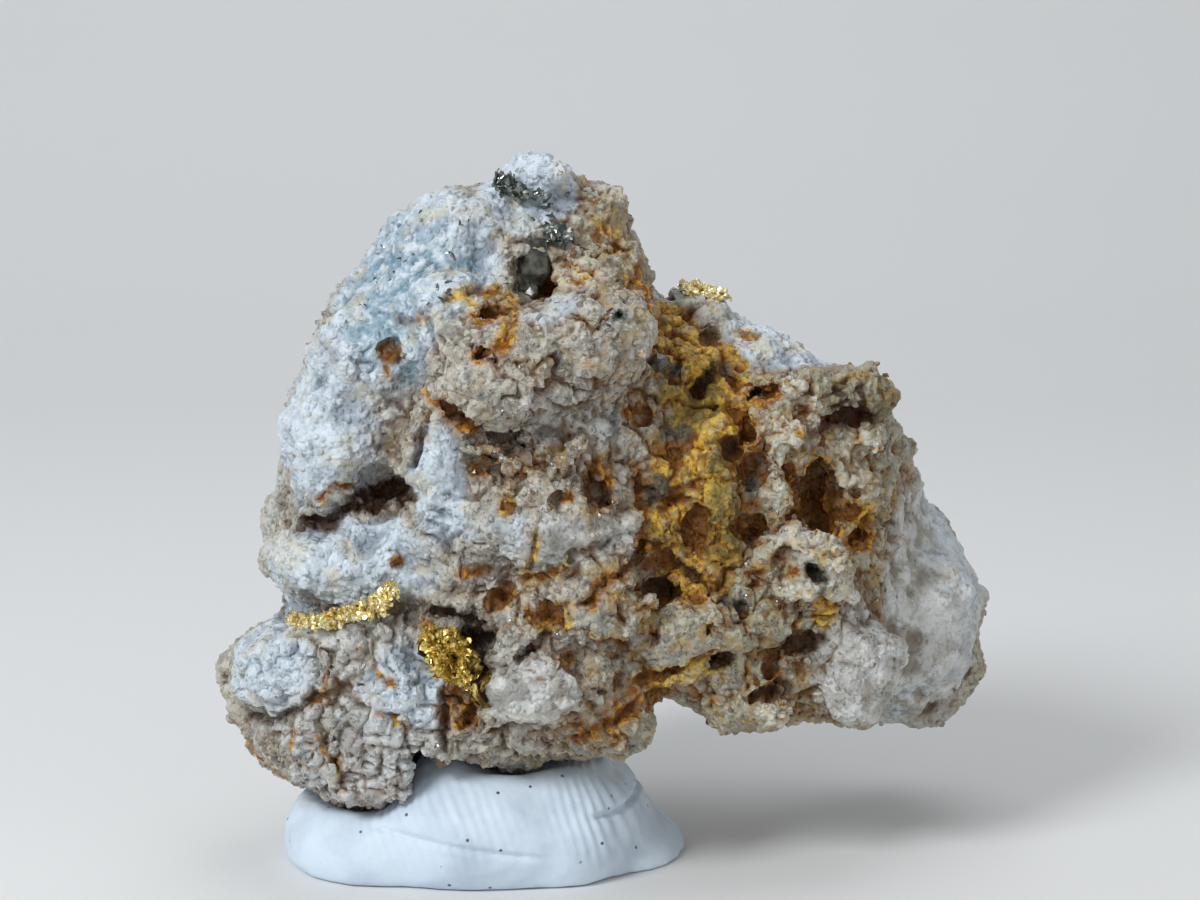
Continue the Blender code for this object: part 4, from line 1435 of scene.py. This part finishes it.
@dataclass
class Scatter:
    """Copies of modelled shapes, each at its own seat, joined in one mesh."""

    name: str
    shapes: list[tuple[np.ndarray, np.ndarray]]
    seats: Points
    halves: np.ndarray
    random: np.random.Generator

    def build(self) -> tuple[Object, np.ndarray]:
        """Copies, turns and joins the shapes.

        Returns:
            The joined piece, and the seat number of each of its corners.
        """
        corners: list[np.ndarray] = []
        faces: list[np.ndarray] = []
        owner: list[np.ndarray] = []
        start = 0
        for index, (seat, half) in enumerate(zip(self.seats, self.halves)):
            shape, tris = self.shapes[index % len(self.shapes)]
            axes = np.linalg.qr(self.random.normal(size=(3, 3)))[0]
            if np.linalg.det(axes) < 0.0:
                axes[:, 0] *= -1.0
            corners.append((shape * half) @ axes.T + seat)
            faces.append(tris + start)
            owner.append(np.full(len(shape), index))
            start += len(shape)
        mesh = bpy.data.meshes.new(self.name)
        mesh.from_pydata(
            ((np.concatenate(corners) + MIDDLE) * MM).tolist(), [], np.concatenate(faces).tolist()
        )
        made = bpy.data.objects.new(self.name, mesh)
        bpy.context.scene.collection.objects.link(made)
        return made, np.concatenate(owner)


def picked(random: np.random.Generator, share: np.ndarray) -> np.ndarray:
    """Picks corners by their own chance, and shuffles them."""
    return random.permutation(np.flatnonzero(random.random(len(share)) < share))


@dataclass(frozen=True)
class Bed:
    """How a crowd of small shapes lies in a surface, in millimetres and as shares of a radius."""

    smallest: float
    spread: float
    bias: float
    sunk: float
    stretch: tuple[float, float] = (0.7, 1.35)

    def lay(
        self, random: np.random.Generator, points: Points, out: np.ndarray
    ) -> tuple[np.ndarray, Points, np.ndarray]:
        """Draws a size and works out a seat for each shape.

        Args:
            random: The source of chance.
            points: The places on the surface.
            out: The surface's normals there.

        Returns:
            The shapes' radii, their seats and their half sizes.
        """
        radii = self.smallest + self.spread * random.random((len(points), 1)) ** self.bias
        seats = points - out * radii * self.sunk
        return radii, seats, radii * random.uniform(*self.stretch, size=(len(points), 3))


def join_into(main: Object, others: Sequence[Object]) -> None:
    """Joins other meshes into a main one.

    Args:
        main: The mesh that stays.
        others: The meshes that become part of it.
    """
    only(main)
    for other in others:
        other.select_set(True)
    bpy.ops.object.join()


# ------------ rock


@dataclass
class Rock(Assembly):
    """The quartz mass, with its grains, hollows and iron stain."""

    coarse: float = 0.32
    middle: float = 0.2
    fine: float = 0.15
    crease: float = 40.0
    near_rounds: int = 25
    far_rounds: int = 160
    triangles: int = 194000
    bubbles: int = 260
    block_count: int = 1500
    lobe: Zone = Zone((-12.5, -4.0, 8.5), (7.5, 7.0, 6.0))
    plates: CellField = CellField(1.9, 37)
    blocks: CellField = CellField(1.05, 11)
    crumbs: CellField = CellField(0.46, 23)
    block_bed: Bed = Bed(0.30, 0.65, 1.5, 0.5)
    bubble_bed: Bed = Bed(0.16, 0.30, 2.0, 0.35, (0.5, 1.9))
    masks: tuple[str, ...] = field(default=(), init=False)

    def swell(self, obj: Object) -> None:
        """Joins named lumps and many sunk blocks of quartz to the plain stone.

        Args:
            obj: The stone.
        """
        random = np.random.default_rng(61)
        shapes = [cut_grain(random, 9) for _ in range(8)]
        points = places(obj)
        share = 0.7 + 0.3 * self.lobe.weight(points) - 0.45 * covered(CHALK_ZONES[:5], points)
        seats = picked(random, share)[: self.block_count]
        _, sunk, halves = self.block_bed.lay(random, points[seats], normals(obj)[seats])
        blocks, _ = Scatter("sunk_blocks", shapes, sunk, halves, random).build()
        join_into(obj, [blocks] + [egg.build() for egg in LUMPS])
        regrid(obj, self.middle)

    def hollow_out(self, obj: Object) -> None:
        """Takes the named hollows and many bubbles out of the stone.

        Args:
            obj: The stone.
        """
        random = np.random.default_rng(62)
        shapes = [cut_grain(random, 3) for _ in range(5)]
        points = places(obj)
        share = 0.10 + 0.90 * covered(HONEYCOMB, points) - covered(CHALK_ZONES, points)
        seats = picked(random, share)[: self.bubbles]
        _, sunk, halves = self.bubble_bed.lay(random, points[seats], normals(obj)[seats])
        mould, _ = Scatter("bubbles", shapes, sunk, halves, random).build()
        join_into(mould, [egg.build() for egg in HOLLOWS])
        regrid(mould, self.middle * 0.7)
        made = obj.modifiers.new("hollow", "BOOLEAN")
        made.operation = "DIFFERENCE"
        made.solver = "MANIFOLD"
        made.object = mould
        finish_modifiers(obj)
        bpy.data.objects.remove(mould)

    def calm(self, points: Points) -> np.ndarray:
        """Where the surface is calmer: in most chalk and frosty quartz, and on the back."""
        calm = covered((*CHALK_ZONES[:6], *CHALK_ZONES[7:], *GREY_ZONES[:6]), points)
        return np.maximum(calm, 0.8 * smooth(points[:, 1], 1.0, 4.5))

    def relief(self, points: Points) -> tuple[np.ndarray, np.ndarray, np.ndarray, np.ndarray]:
        """Works out the height of the grained surface.

        Args:
            points: Places on the plain stone.

        Returns:
            Heights in millimetres, how far each point lies in a narrow seam, and one chance for
            each point's grain and one for its block.
        """
        wander = drift(points, 1.1, 60)
        lobe = self.lobe.weight(points)
        calm = self.calm(points)
        still = GREY_ZONES[0].weight(points)
        rough = 1.0 - 0.55 * calm - 0.35 * still
        line = np.abs(wave(points + 0.9 * wander, 2.1, 120, 2))
        cleft = (1.0 - smooth(line, 0.0, 0.085)) * smooth(wave(points, 3.1, 126), -0.35, 0.15)
        plate = self.plates.read(points + 0.5 * wander)
        block = self.blocks.read(points + 0.28 * wander)
        crumb = self.crumbs.read(points + 0.28 * wander)
        groove = (1.0 - smooth(plate.edge, 0.0, 0.16)) * smooth(wave(points, 2.3, 128), -0.3, 0.2)
        split = (1.0 - smooth(block.edge, 0.01, 0.10)) * lobe
        blocky = 0.30 + 0.45 * lobe - 0.15 * calm * (1.0 - lobe) - 0.10 * covered(HONEYCOMB, points)
        crumbly = 1.0 - 0.25 * calm - 0.35 * still - 0.35 * lobe
        high = 0.24 * wave(points, 2.6, 80, 2) + 0.14 * wave(points, 0.9, 90, 2)
        high += 0.20 * rough * (0.30 - np.abs(wave(points, 1.6, 100, 2)))
        high -= 0.42 * rough * cleft
        high += rough * ((plate.chance[:, 0] - 0.5) * 0.26 - 0.22 * groove)
        high -= np.max([channel.cut(points + 0.16 * wander) for channel in CHANNELS], axis=0)
        high += block.tops(0.30, 0.5, 0.30, 0.16, 0.8) * blocky
        high += crumb.tops(0.14, 0.28, 0.15, 0.18, 0.6) * crumbly
        high += 0.16 * calm * wave(points, 1.3, 130, 2)
        seam = np.max([0.8 * cleft, 0.7 * groove * (1.0 - 0.8 * calm), 0.8 * split], axis=0)
        return high, seam, crumb.chance[:, 3], block.chance[:, 3]

    def build(self) -> None:
        """Makes the mass and its masks."""
        obj = merged_copy("matrix", "quartz_mass")
        regrid(obj, self.coarse)
        soften(obj, 3)
        self.swell(obj)
        self.hollow_out(obj)
        regrid(obj, self.fine)
        soften(obj, 1)
        points = places(obj)
        high, cleft, grain, lump = self.relief(points)
        move_to(obj, points + normals(obj) * high[:, None])
        soften(obj, 1)
        hollow = 0.5 * hollowness(obj, self.near_rounds) + 0.6 * hollowness(obj, self.far_rounds)
        shares = {**Stain(places(obj), hollow, cleft).read(), "lump": lump}
        self.masks = tuple(shares)
        for name, values in {**shares, "grain": grain}.items():
            store(obj, name, values)
        thin_out(obj, self.triangles)
        only(obj)
        bpy.ops.object.shade_smooth_by_angle(angle=math.radians(self.crease))
        self.piece = obj

    def dress(self) -> None:
        """Gives the mass its finish and ties it to the specimen."""
        self.paint(QuartzFinish("quartz_rock"))
        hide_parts("matrix")
        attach(self.piece, "root")


# ------------ grains


@dataclass(frozen=True)
class Crop:
    """One kind of small grain that stands on the mass."""

    name: str
    finish: QuartzFinish
    count: int
    bed: Bed
    zones: tuple[Zone, ...]
    floor: float
    salt: int


# Where few grains stand.
BARE_ZONES = zones(
    ((-3.3, -3.2, 30.2), (0.9, 1.6, 1.2)), ((-11.3, -6.1, 15.9), (1.3, 1.2, 1.3), 0.9),
    ((-7.6, -8.0, 21.0), (1.0, 1.5, 2.6), 0.6), ((-2.2, -1.7, 34.6), (1.6, 2.0, 1.2), 0.7),
    ((-9.5, -2.5, 29.0), (5.2, 5.5, 6.0), 0.75), ((-13.0, -2.0, 22.5), (3.2, 5.0, 4.4), 0.75),
    ((-3.2, -8.9, 10.6), (2.4, 2.0, 1.6), 0.8), ((-5.6, -9.5, 25.4), (2.4, 1.6, 0.9), 0.85),
    ((4.9, -4.0, 19.5), (3.4, 3.6, 6.0), 0.35), ((18.0, 1.0, 13.0), (3.4, 8.0, 7.6), 0.95),
)
SUGAR = Crop(
    "sugar_grains", QuartzFinish("sugar_quartz", (0.3, 0.55)), 3600, Bed(0.10, 0.16, 2.0, 0.75), (), 0.6, 701
)
MILKY = Crop(
    "milky_grains",
    QuartzFinish("milky_quartz", (0.2, 0.45)),
    3600,
    Bed(0.16, 0.26, 2.0, 0.75),
    zones(((-12.5, -5.0, 8.5), (6.5, 7.0, 6.0)), ((3.0, -4.0, 12.0), (12.0, 7.0, 5.0), 0.6)),
    0.3,
    751,
)
GLASSY = Crop(
    "glassy_grains",
    QuartzFinish("glassy_quartz", (0.05, 0.2), 0.5, 0.02),
    3200,
    Bed(0.09, 0.13, 2.0, 0.4),
    zones(
        ((-3.0, -8.0, 18.0), (7.5, 6.0, 12.0), 0.6), ((-12.5, -5.0, 8.5), (6.5, 6.0, 6.0), 0.6),
        ((10.0, -3.0, 15.0), (7.0, 6.0, 8.0), 0.6),
    ),
    0.12,
    801,
)


@dataclass
class Druse(Assembly):
    """Small quartz grains that stand on the rock, all of one kind in one piece."""

    rock: Rock
    crop: Crop
    flats: int = 8
    kinds: int = 8

    def choose(self, random: np.random.Generator) -> np.ndarray:
        """Chooses the rock corners that grains stand on, no two too close.

        Args:
            random: The source of chance.

        Returns:
            Corner numbers.
        """
        points = places(self.rock.piece)
        share = np.maximum(covered(self.crop.zones, points), self.crop.floor)
        share *= (1.0 - covered(BARE_ZONES, points)) * smooth(wave(points, 1.2, 601, 2), -0.5, 0.1)
        share *= 1.0 - 0.8 * stored(self.rock.piece, "chalk")
        order = picked(random, share)
        room = np.floor(points[order] / (self.crop.bed.smallest * 1.6)).astype(int)
        _, first = np.unique(room, axis=0, return_index=True)
        return random.permutation(order[first])[: self.crop.count]

    def build(self) -> None:
        """Copies the modelled grains over the rock and joins them in one mesh."""
        random = np.random.default_rng(self.crop.salt)
        shapes = [cut_grain(random, self.flats) for _ in range(self.kinds)]
        seats = self.choose(random)
        out = normals(self.rock.piece)[seats]
        radii, sunk, halves = self.crop.bed.lay(random, places(self.rock.piece)[seats], out)
        self.piece, owner = Scatter(self.crop.name, shapes, sunk, halves, random).build()
        for name in self.rock.masks:
            store(self.piece, name, stored(self.rock.piece, name)[seats][owner])
        above = np.einsum("ij,ij->i", places(self.piece) - sunk[owner], out[owner])
        foot = 1.0 - smooth(above / radii[owner, 0], -0.2, 0.55)
        rust = np.maximum(stored(self.piece, "rusty") * foot, stored(self.piece, "rust") * 0.7)
        self.piece.data.attributes["rust"].data.foreach_set("value", rust.astype(np.float32))
        store(self.piece, "grain", random.random(len(seats))[owner])

    def dress(self) -> None:
        """Gives the grains their finish and ties them to the specimen."""
        self.paint(self.crop.finish)
        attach(self.piece, "root")


# ------------ gold


@dataclass
class GoldLeaf(Assembly):
    """Crumpled leaf gold, with small flakes that stand out of it."""

    node: str
    name: str
    finish: GoldFinish
    flakes: int
    flake: tuple[float, float]
    grid: float = 0.07
    crumple: CellField = CellField(0.30, 91)
    fold: float = 0.30
    ragged: float = 0.35
    patch: float = 0.8
    bend: float = 0.25
    thickness: float = 0.035
    crease: float = 22.0
    sunk: float = 0.0
    inset: float = 0.0
    sink: float = 0.0

    def build(self) -> None:
        """Makes the leaf."""
        obj = merged_copy(self.node, self.name)
        regrid(obj, self.grid)
        soften(obj, 2)
        points = places(obj)
        high = self.crumple.read(points).tops(self.fold, 1.3, 0.5 * self.fold, 0.10, 0.7)
        high += 0.05 * wave(points, 0.2, 95, 2)
        high -= self.ragged * smooth(wave(points, self.patch, 97, 2), -0.1, 0.4) + self.inset
        points = points + normals(obj) * high[:, None]
        points[:, 1] += self.sink + self.sunk * smooth(wave(points, 1.1, 98, 2), -0.2, 0.3)
        move_to(obj, points)
        # How hollow the leaf is, which its finish paints as shade in the folds.
        store(obj, "hollow", smooth(hollowness(obj, 16), 0.0, 0.09))
        self.piece = obj
        self.add_flakes()
        only(self.piece)
        bpy.ops.object.shade_smooth_by_angle(angle=math.radians(self.crease))

    def add_flakes(self) -> None:
        """Sets small bent plates on the leaf and joins them to it."""
        random = np.random.default_rng(17 + self.flakes)
        points = places(self.piece)
        out = normals(self.piece)
        made: list[Object] = []
        for seat in random.choice(len(points), self.flakes, replace=False):
            size = random.uniform(*self.flake)
            bpy.ops.object.select_all(action="DESELECT")
            bpy.ops.mesh.primitive_circle_add(vertices=6, radius=size * MM, fill_type="TRIFAN")
            flake = bpy.context.object
            for corner in flake.data.vertices:
                corner.co += Vector(random.uniform(-self.bend, self.bend, size=3) * size * MM)
            thick = flake.modifiers.new("thick", "SOLIDIFY")
            thick.thickness = self.thickness * MM
            thick.offset = 0.0
            finish_modifiers(flake)
            flake.rotation_euler = tuple(random.uniform(0.0, math.tau, size=3))
            flake.location = (points[seat] + out[seat] * size * 0.35 + MIDDLE) * MM
            made.append(flake)
        join_into(self.piece, made)

    def dress(self) -> None:
        """Gives the leaf its finish and ties it to the specimen."""
        self.paint(self.finish)
        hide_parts(self.node)
        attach(self.piece, "root")


DEEP_GOLD = GoldFinish("native_gold_leaf", Tone.OLD_GOLD, Tone.GOLD)
SEAM_GOLD = GoldFinish("pale_gold_leaf", Tone.DIM_GOLD, Tone.PALE_GOLD, Tone.OLD_GOLD)


# ------------ grey metal


@dataclass
class Sulphide(Assembly):
    """A knot of thin flat-faced grey metal crystals."""

    node: str
    name: str
    blades: int
    shrink: float = 0.42
    sink: float = 0.35
    rooted: float = 0.30
    smallest: Triple = (0.14, 0.34, 0.05)
    largest: Triple = (0.26, 0.66, 0.10)
    grid: float = 0.07

    def build(self) -> None:
        """Makes the knot, a shrunken heart with blades standing out of it."""
        random = np.random.default_rng(211 + self.blades)
        obj = merged_copy(self.node, self.name)
        regrid(obj, self.grid)
        points = places(obj) + (0.0, self.sink, 0.0)
        seats = random.choice(len(points), self.blades, replace=False)
        inward = points[seats] - normals(obj)[seats] * self.rooted
        heart = points - normals(obj) * (self.shrink + 0.1 * wave(points, 0.4, 220))[:, None]
        move_to(obj, heart)
        shapes = [cut_grain(random, 5) for _ in range(4)]
        halves = random.uniform(self.smallest, self.largest, size=(self.blades, 3))
        blades, _ = Scatter("blades", shapes, inward, halves, random).build()
        join_into(obj, [blades])
        only(obj)
        bpy.ops.object.shade_flat()
        self.piece = obj

    def dress(self) -> None:
        """Gives the knot its finish and ties it to the specimen."""
        self.paint(SulphideFinish())
        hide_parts(self.node)
        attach(self.piece, "root")


# Places across and up the front, and the crystals' size there.
SPECK_SPOTS = (
    (-10.9, 31.0, 0.11), (-9.4, 30.8, 0.14), (-10.3, 30.0, 0.10), (-6.8, 32.5, 0.12), (-7.4, 29.8, 0.20),
    (-7.6, 29.2, 0.20), (-11.0, 29.9, 0.12), (-8.8, 32.8, 0.12), (-7.2, 31.2, 0.14), (-12.3, 27.6, 0.08),
    (-11.5, 28.8, 0.08), (-8.2, 29.0, 0.12), (-3.0, 33.3, 0.26), (-2.4, 33.1, 0.32), (-1.8, 33.3, 0.26),
    (-2.4, 32.7, 0.22), (-7.8, 7.5, 0.14), (-4.5, 29.9, 0.10), (7.2, 12.4, 0.12), (0.6, 28.5, 0.18),
)


@dataclass
class Specks(Assembly):
    """Tiny dark crystals set in the chalky quartz."""

    rock: Rock
    spots: tuple[Triple, ...] = SPECK_SPOTS
    each: int = 3
    reach: float = 0.25
    smallest: Triple = (0.5, 0.3, 0.9)
    largest: Triple = (0.9, 0.5, 2.0)

    def build(self) -> None:
        """Makes a few crystals at each spot on the front of the stone."""
        random = np.random.default_rng(307)
        points = places(self.rock.piece)
        seats: list[np.ndarray] = []
        sizes: list[float] = []
        for across, up, size in self.spots:
            for _ in range(self.each):
                aim = np.array([across, up]) + random.normal(scale=0.8 * size + 0.06, size=2)
                sizes.append(size)
                near = np.hypot(points[:, 0] - aim[0], points[:, 2] - aim[1])
                front = np.where(near < self.reach, points[:, 1], np.inf)
                seats.append(points[np.argmin(front)])
        halves = random.uniform(self.smallest, self.largest, size=(len(seats), 3))
        halves *= np.array(sizes)[:, None]
        shapes = [cut_grain(random, 5) for _ in range(4)]
        scatter = Scatter("dark_specks", shapes, np.array(seats), halves, random)
        self.piece, _ = scatter.build()

    def dress(self) -> None:
        """Gives the specks their finish and ties them to the specimen."""
        self.paint(SulphideFinish())
        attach(self.piece, "root")


# ------------ smoky crystals


@dataclass(frozen=True)
class Prism:
    """One six-sided quartz crystal: where its foot is, where it points, its size and its shape."""

    foot: Triple
    points: Triple
    radius: float
    length: float
    turn: float = 0.0
    flatness: float = 0.85
    tip: Triple = (0.08, -0.05, 0.32)
    taper: Triple = (0.42, 0.30, 1.0)
    bevel: float = 0.03

    def build(self) -> Object:
        """Makes the crystal, with an uneven point.

        Returns:
            Its mesh.
        """
        bpy.ops.object.select_all(action="DESELECT")
        bpy.ops.mesh.primitive_cylinder_add(vertices=6, radius=1.0, depth=1.0)
        made = bpy.context.object
        bpy.ops.object.mode_set(mode="EDIT")
        bpy.ops.mesh.select_all(action="DESELECT")
        bpy.ops.object.mode_set(mode="OBJECT")
        top = max(made.data.polygons, key=lambda face: face.center.z)
        top.select = True
        bpy.ops.object.mode_set(mode="EDIT")
        bpy.ops.mesh.extrude_region_move(TRANSFORM_OT_translate={"value": self.tip})
        bpy.ops.transform.resize(value=self.taper)
        bpy.ops.object.mode_set(mode="OBJECT")
        edge = made.modifiers.new("edge", "BEVEL")
        edge.width = self.bevel
        edge.segments = 1
        finish_modifiers(made)
        shape = np.array([corner.co[:] for corner in made.data.vertices])
        size = (self.radius, self.radius * self.flatness, self.length / (1.0 + self.tip[2]))
        shape = (shape + (0.0, 0.0, 0.5)) * size
        way = Vector(self.points).normalized().to_track_quat("Z", "Y").to_matrix()
        cos, sin = math.cos(self.turn), math.sin(self.turn)
        spin = np.array(((cos, -sin, 0.0), (sin, cos, 0.0), (0.0, 0.0, 1.0)))
        move_to(made, shape @ spin.T @ np.array(way).T + self.foot)
        return made


@dataclass
class SmokyCrystals(Assembly):
    """The grey-green crystals that line the pocket under the summit."""

    prisms: tuple[Prism, ...] = (
        Prism((-3.15, -2.55, 31.7), (0.02, -0.12, -1.0), 0.85, 2.3, 0.5),
        Prism((-4.0, -2.5, 30.0), (0.1, -0.5, -0.8), 0.55, 1.4, 0.1),
        Prism((-3.6, -2.4, 29.3), (0.3, -0.8, -0.2), 0.42, 1.2, 0.4),
        Prism((3.0, -2.8, 25.5), (-0.2, -0.9, 0.3), 0.55, 1.2, 0.2),
    )

    def build(self) -> None:
        """Makes the crystals and joins them."""
        first, *rest = [prism.build() for prism in self.prisms]
        join_into(first, rest)
        first.name = "smoky_crystals"
        bpy.ops.object.shade_flat()
        self.piece = first

    def dress(self) -> None:
        """Gives the crystals their finish and ties them to the specimen."""
        self.paint(SmokyFinish())
        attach(self.piece, "root")


# ------------ putty


@dataclass
class Putty(Assembly):
    """The pressed knob of putty that the stone stands on, with a thumb's ridges in it."""

    coarse: float = 0.3
    grid: float = 0.12
    triangles: int = 150000
    ridge_gap: float = 0.46
    ridge_depth: float = 0.05
    ridge_turn: float = 24.0

    def ridges(self, points: Points) -> np.ndarray:
        """Works out the thumb's ridges, mostly on the right of the knob's front.

        Args:
            points: Places on the plain knob.

        Returns:
            Heights in millimetres.
        """
        bend = points + 0.35 * drift(points, 3.0, 500, 1, 1)
        turn = math.radians(self.ridge_turn)
        along = bend[:, 0] * math.cos(turn) + (bend[:, 2] - 4.0) * math.sin(turn)
        along = along + 0.020 * (bend[:, 2] - 4.0) ** 2
        where = Zone((0.8, -5.0, 4.2), (3.4, 4.5, 3.2)).weight(points)
        where += 0.5 * Zone((-8.0, -6.0, 3.2), (4.0, 4.0, 2.4)).weight(points)
        return self.ridge_depth * where * np.cos(along * math.tau / self.ridge_gap)

    def creases(self, points: Points) -> np.ndarray:
        """Works out the folds left by pressing.

        Args:
            points: Places on the plain knob.

        Returns:
            Heights in millimetres, all under 0.
        """
        fold = points[:, 2] - (3.4 + 0.05 * (points[:, 0] - 1.0) ** 2)
        right = smooth(points[:, 0], -1.0, 0.6)
        deep = -0.35 * right * np.exp(-((fold / 0.16) ** 2))
        fold = points[:, 2] - (2.2 - 0.16 * (points[:, 0] + 6.0))
        left = smooth(-points[:, 0], 2.0, 4.0) * smooth(points[:, 0], -12.0, -9.0)
        return deep - 0.22 * left * np.exp(-((fold / 0.14) ** 2))

    def build(self) -> None:
        """Makes the knob."""
        obj = merged_copy("putty", "putty_knob")
        regrid(obj, self.coarse)
        soften(obj, 8)
        regrid(obj, self.grid)
        soften(obj, 2)
        points = places(obj)
        high = 0.10 * wave(points, 2.2, 510, 2) + 0.03 * wave(points, 0.5, 520, 2)
        high += self.ridges(points) + self.creases(points)
        free = smooth(points[:, 2], 0.15, 0.6)
        points = points + normals(obj) * (high * free)[:, None]
        points[:, 2] = np.maximum(points[:, 2], 0.0)
        move_to(obj, points)
        thin_out(obj, self.triangles)
        only(obj)
        bpy.ops.object.shade_smooth()
        self.piece = obj

    def dress(self) -> None:
        """Gives the knob its finish and ties it to the specimen."""
        self.paint(PuttyFinish())
        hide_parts("putty")
        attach(self.piece, "root")


# ------------ studio


@dataclass(frozen=True)
class Lamp:
    """A soft box that faces the specimen."""

    name: str
    place: Triple
    size: float
    watts: float
    colour: Triple

    def build(self, aim: Vector) -> None:
        """Hangs the lamp.

        Args:
            aim: The place that it faces.
        """
        light = bpy.data.lights.new(self.name, "AREA")
        light.shape = "DISK"
        light.size = self.size * MM
        light.energy = self.watts
        light.color = self.colour
        made = bpy.data.objects.new(self.name, light)
        made.location = Vector(self.place) * MM
        made.rotation_euler = (aim - made.location).to_track_quat("-Z", "Y").to_euler()
        bpy.context.scene.collection.objects.link(made)


@dataclass
class Studio:
    """A pale sweep, soft lamps, a pale surround and the camera."""

    height: float = 20.8
    distance: float = 150.0
    tilt: float = 10.0
    lens: float = 90.0
    film: float = 36.0
    reach: float = 1600.0
    back: float = 260.0
    bend: float = 110.0
    floor_cuts: int = 100
    haze: Triple = (0.90, 0.94, 1.0)
    haze_strength: float = 0.39
    lamps: tuple[Lamp, ...] = (
        Lamp("key", (-185.0, -190.0, 215.0), 110.0, 0.68, (0.95, 0.975, 1.0)),
        Lamp("fill", (230.0, -160.0, 90.0), 220.0, 0.08, (1.0, 0.95, 0.88)),
        Lamp("top", (20.0, 60.0, 260.0), 200.0, 0.15, (0.95, 0.97, 1.0)),
    )

    def sweep(self) -> None:
        """Lays the floor, which bends up into a backdrop behind the specimen."""
        bpy.ops.object.select_all(action="DESELECT")
        bpy.ops.mesh.primitive_plane_add(size=2.0 * self.reach * MM)
        floor = bpy.context.object
        floor.name = "sweep"
        bpy.ops.object.mode_set(mode="EDIT")
        bpy.ops.mesh.subdivide(number_cuts=self.floor_cuts)
        bpy.ops.object.mode_set(mode="OBJECT")
        for corner in floor.data.vertices:
            past = corner.co.y / MM - self.back + self.bend
            if past > 0.0:
                turn = min(past / self.bend, math.pi / 2.0)
                rise = max(past - self.bend * math.pi / 2.0, 0.0)
                corner.co.y = (self.back - self.bend + self.bend * math.sin(turn)) * MM
                corner.co.z = (self.bend * (1.0 - math.cos(turn)) + rise) * MM
        only(floor)
        bpy.ops.object.shade_smooth()
        floor.data.materials.append(PlainFinish("paper_sweep", Tone.PAPER).build())

    def camera(self, aim: Vector) -> None:
        """Sets the camera.

        Args:
            aim: The place that it looks at.
        """
        made = bpy.data.cameras.new("camera")
        made.lens = self.lens
        made.sensor_width = self.film
        made.clip_start = 1.0 * MM
        made.clip_end = 10.0
        obj = bpy.data.objects.new("camera", made)
        tilt = math.radians(self.tilt)
        away = Vector((0.0, -math.cos(tilt), math.sin(tilt))) * self.distance * MM
        obj.location = aim + away
        obj.rotation_euler = (-away).to_track_quat("-Z", "Y").to_euler()
        bpy.context.scene.collection.objects.link(obj)
        bpy.context.scene.camera = obj

    def surround(self) -> None:
        """Fills the room with weak pale light."""
        world = bpy.data.worlds.new("surround")
        world.use_nodes = True
        light = world.node_tree.nodes["Background"]
        light.inputs["Color"].default_value = (*self.haze, 1.0)
        light.inputs["Strength"].default_value = self.haze_strength
        bpy.context.scene.world = world

    def build(self) -> None:
        """Makes the whole studio."""
        aim = Vector((MIDDLE[0], MIDDLE[1], self.height)) * MM
        self.sweep()
        self.camera(aim)
        for lamp in self.lamps:
            lamp.build(aim)
        self.surround()
        bpy.context.scene.view_settings.view_transform = "Standard"


# ------------ main


def write_sizes() -> None:
    """Brings the view layer up to date.
    """
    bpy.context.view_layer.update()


def main() -> None:
    """Builds the studio and the specimen, and reports each piece."""
    logging.basicConfig(level=logging.INFO, stream=sys.stdout, format="%(message)s")
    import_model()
    Studio().build()
    rock = Rock()
    assemblies: tuple[Assembly, ...] = (
        rock,
        *(Druse(rock, crop) for crop in (SUGAR, MILKY, GLASSY)),
        GoldLeaf(
            "gold_seam", "leaf_gold_seam", SEAM_GOLD, 240, (0.06, 0.15),
            ragged=0.5, patch=0.5, sunk=0.8, inset=0.12,
        ),
        GoldLeaf(
            "gold_cluster", "leaf_gold_cluster", DEEP_GOLD, 420, (0.09, 0.22),
            fold=0.45, ragged=1.1, patch=0.55, inset=0.1, sink=0.35,
        ),
        GoldLeaf(
            "gold_rim", "leaf_gold_rim", SEAM_GOLD, 20, (0.05, 0.10),
            fold=0.2, ragged=0.1, inset=0.05,
        ),
        Sulphide("sulphide_summit", "summit_crystals", 34),
        Sulphide("sulphide_fan", "fan_crystals", 16),
        Specks(rock),
        SmokyCrystals(),
        Putty(),
    )
    for assembly in assemblies:
        assembly.build()
        assembly.dress()
        assembly.report()
    write_sizes()


if __name__ == "__main__":
    main()
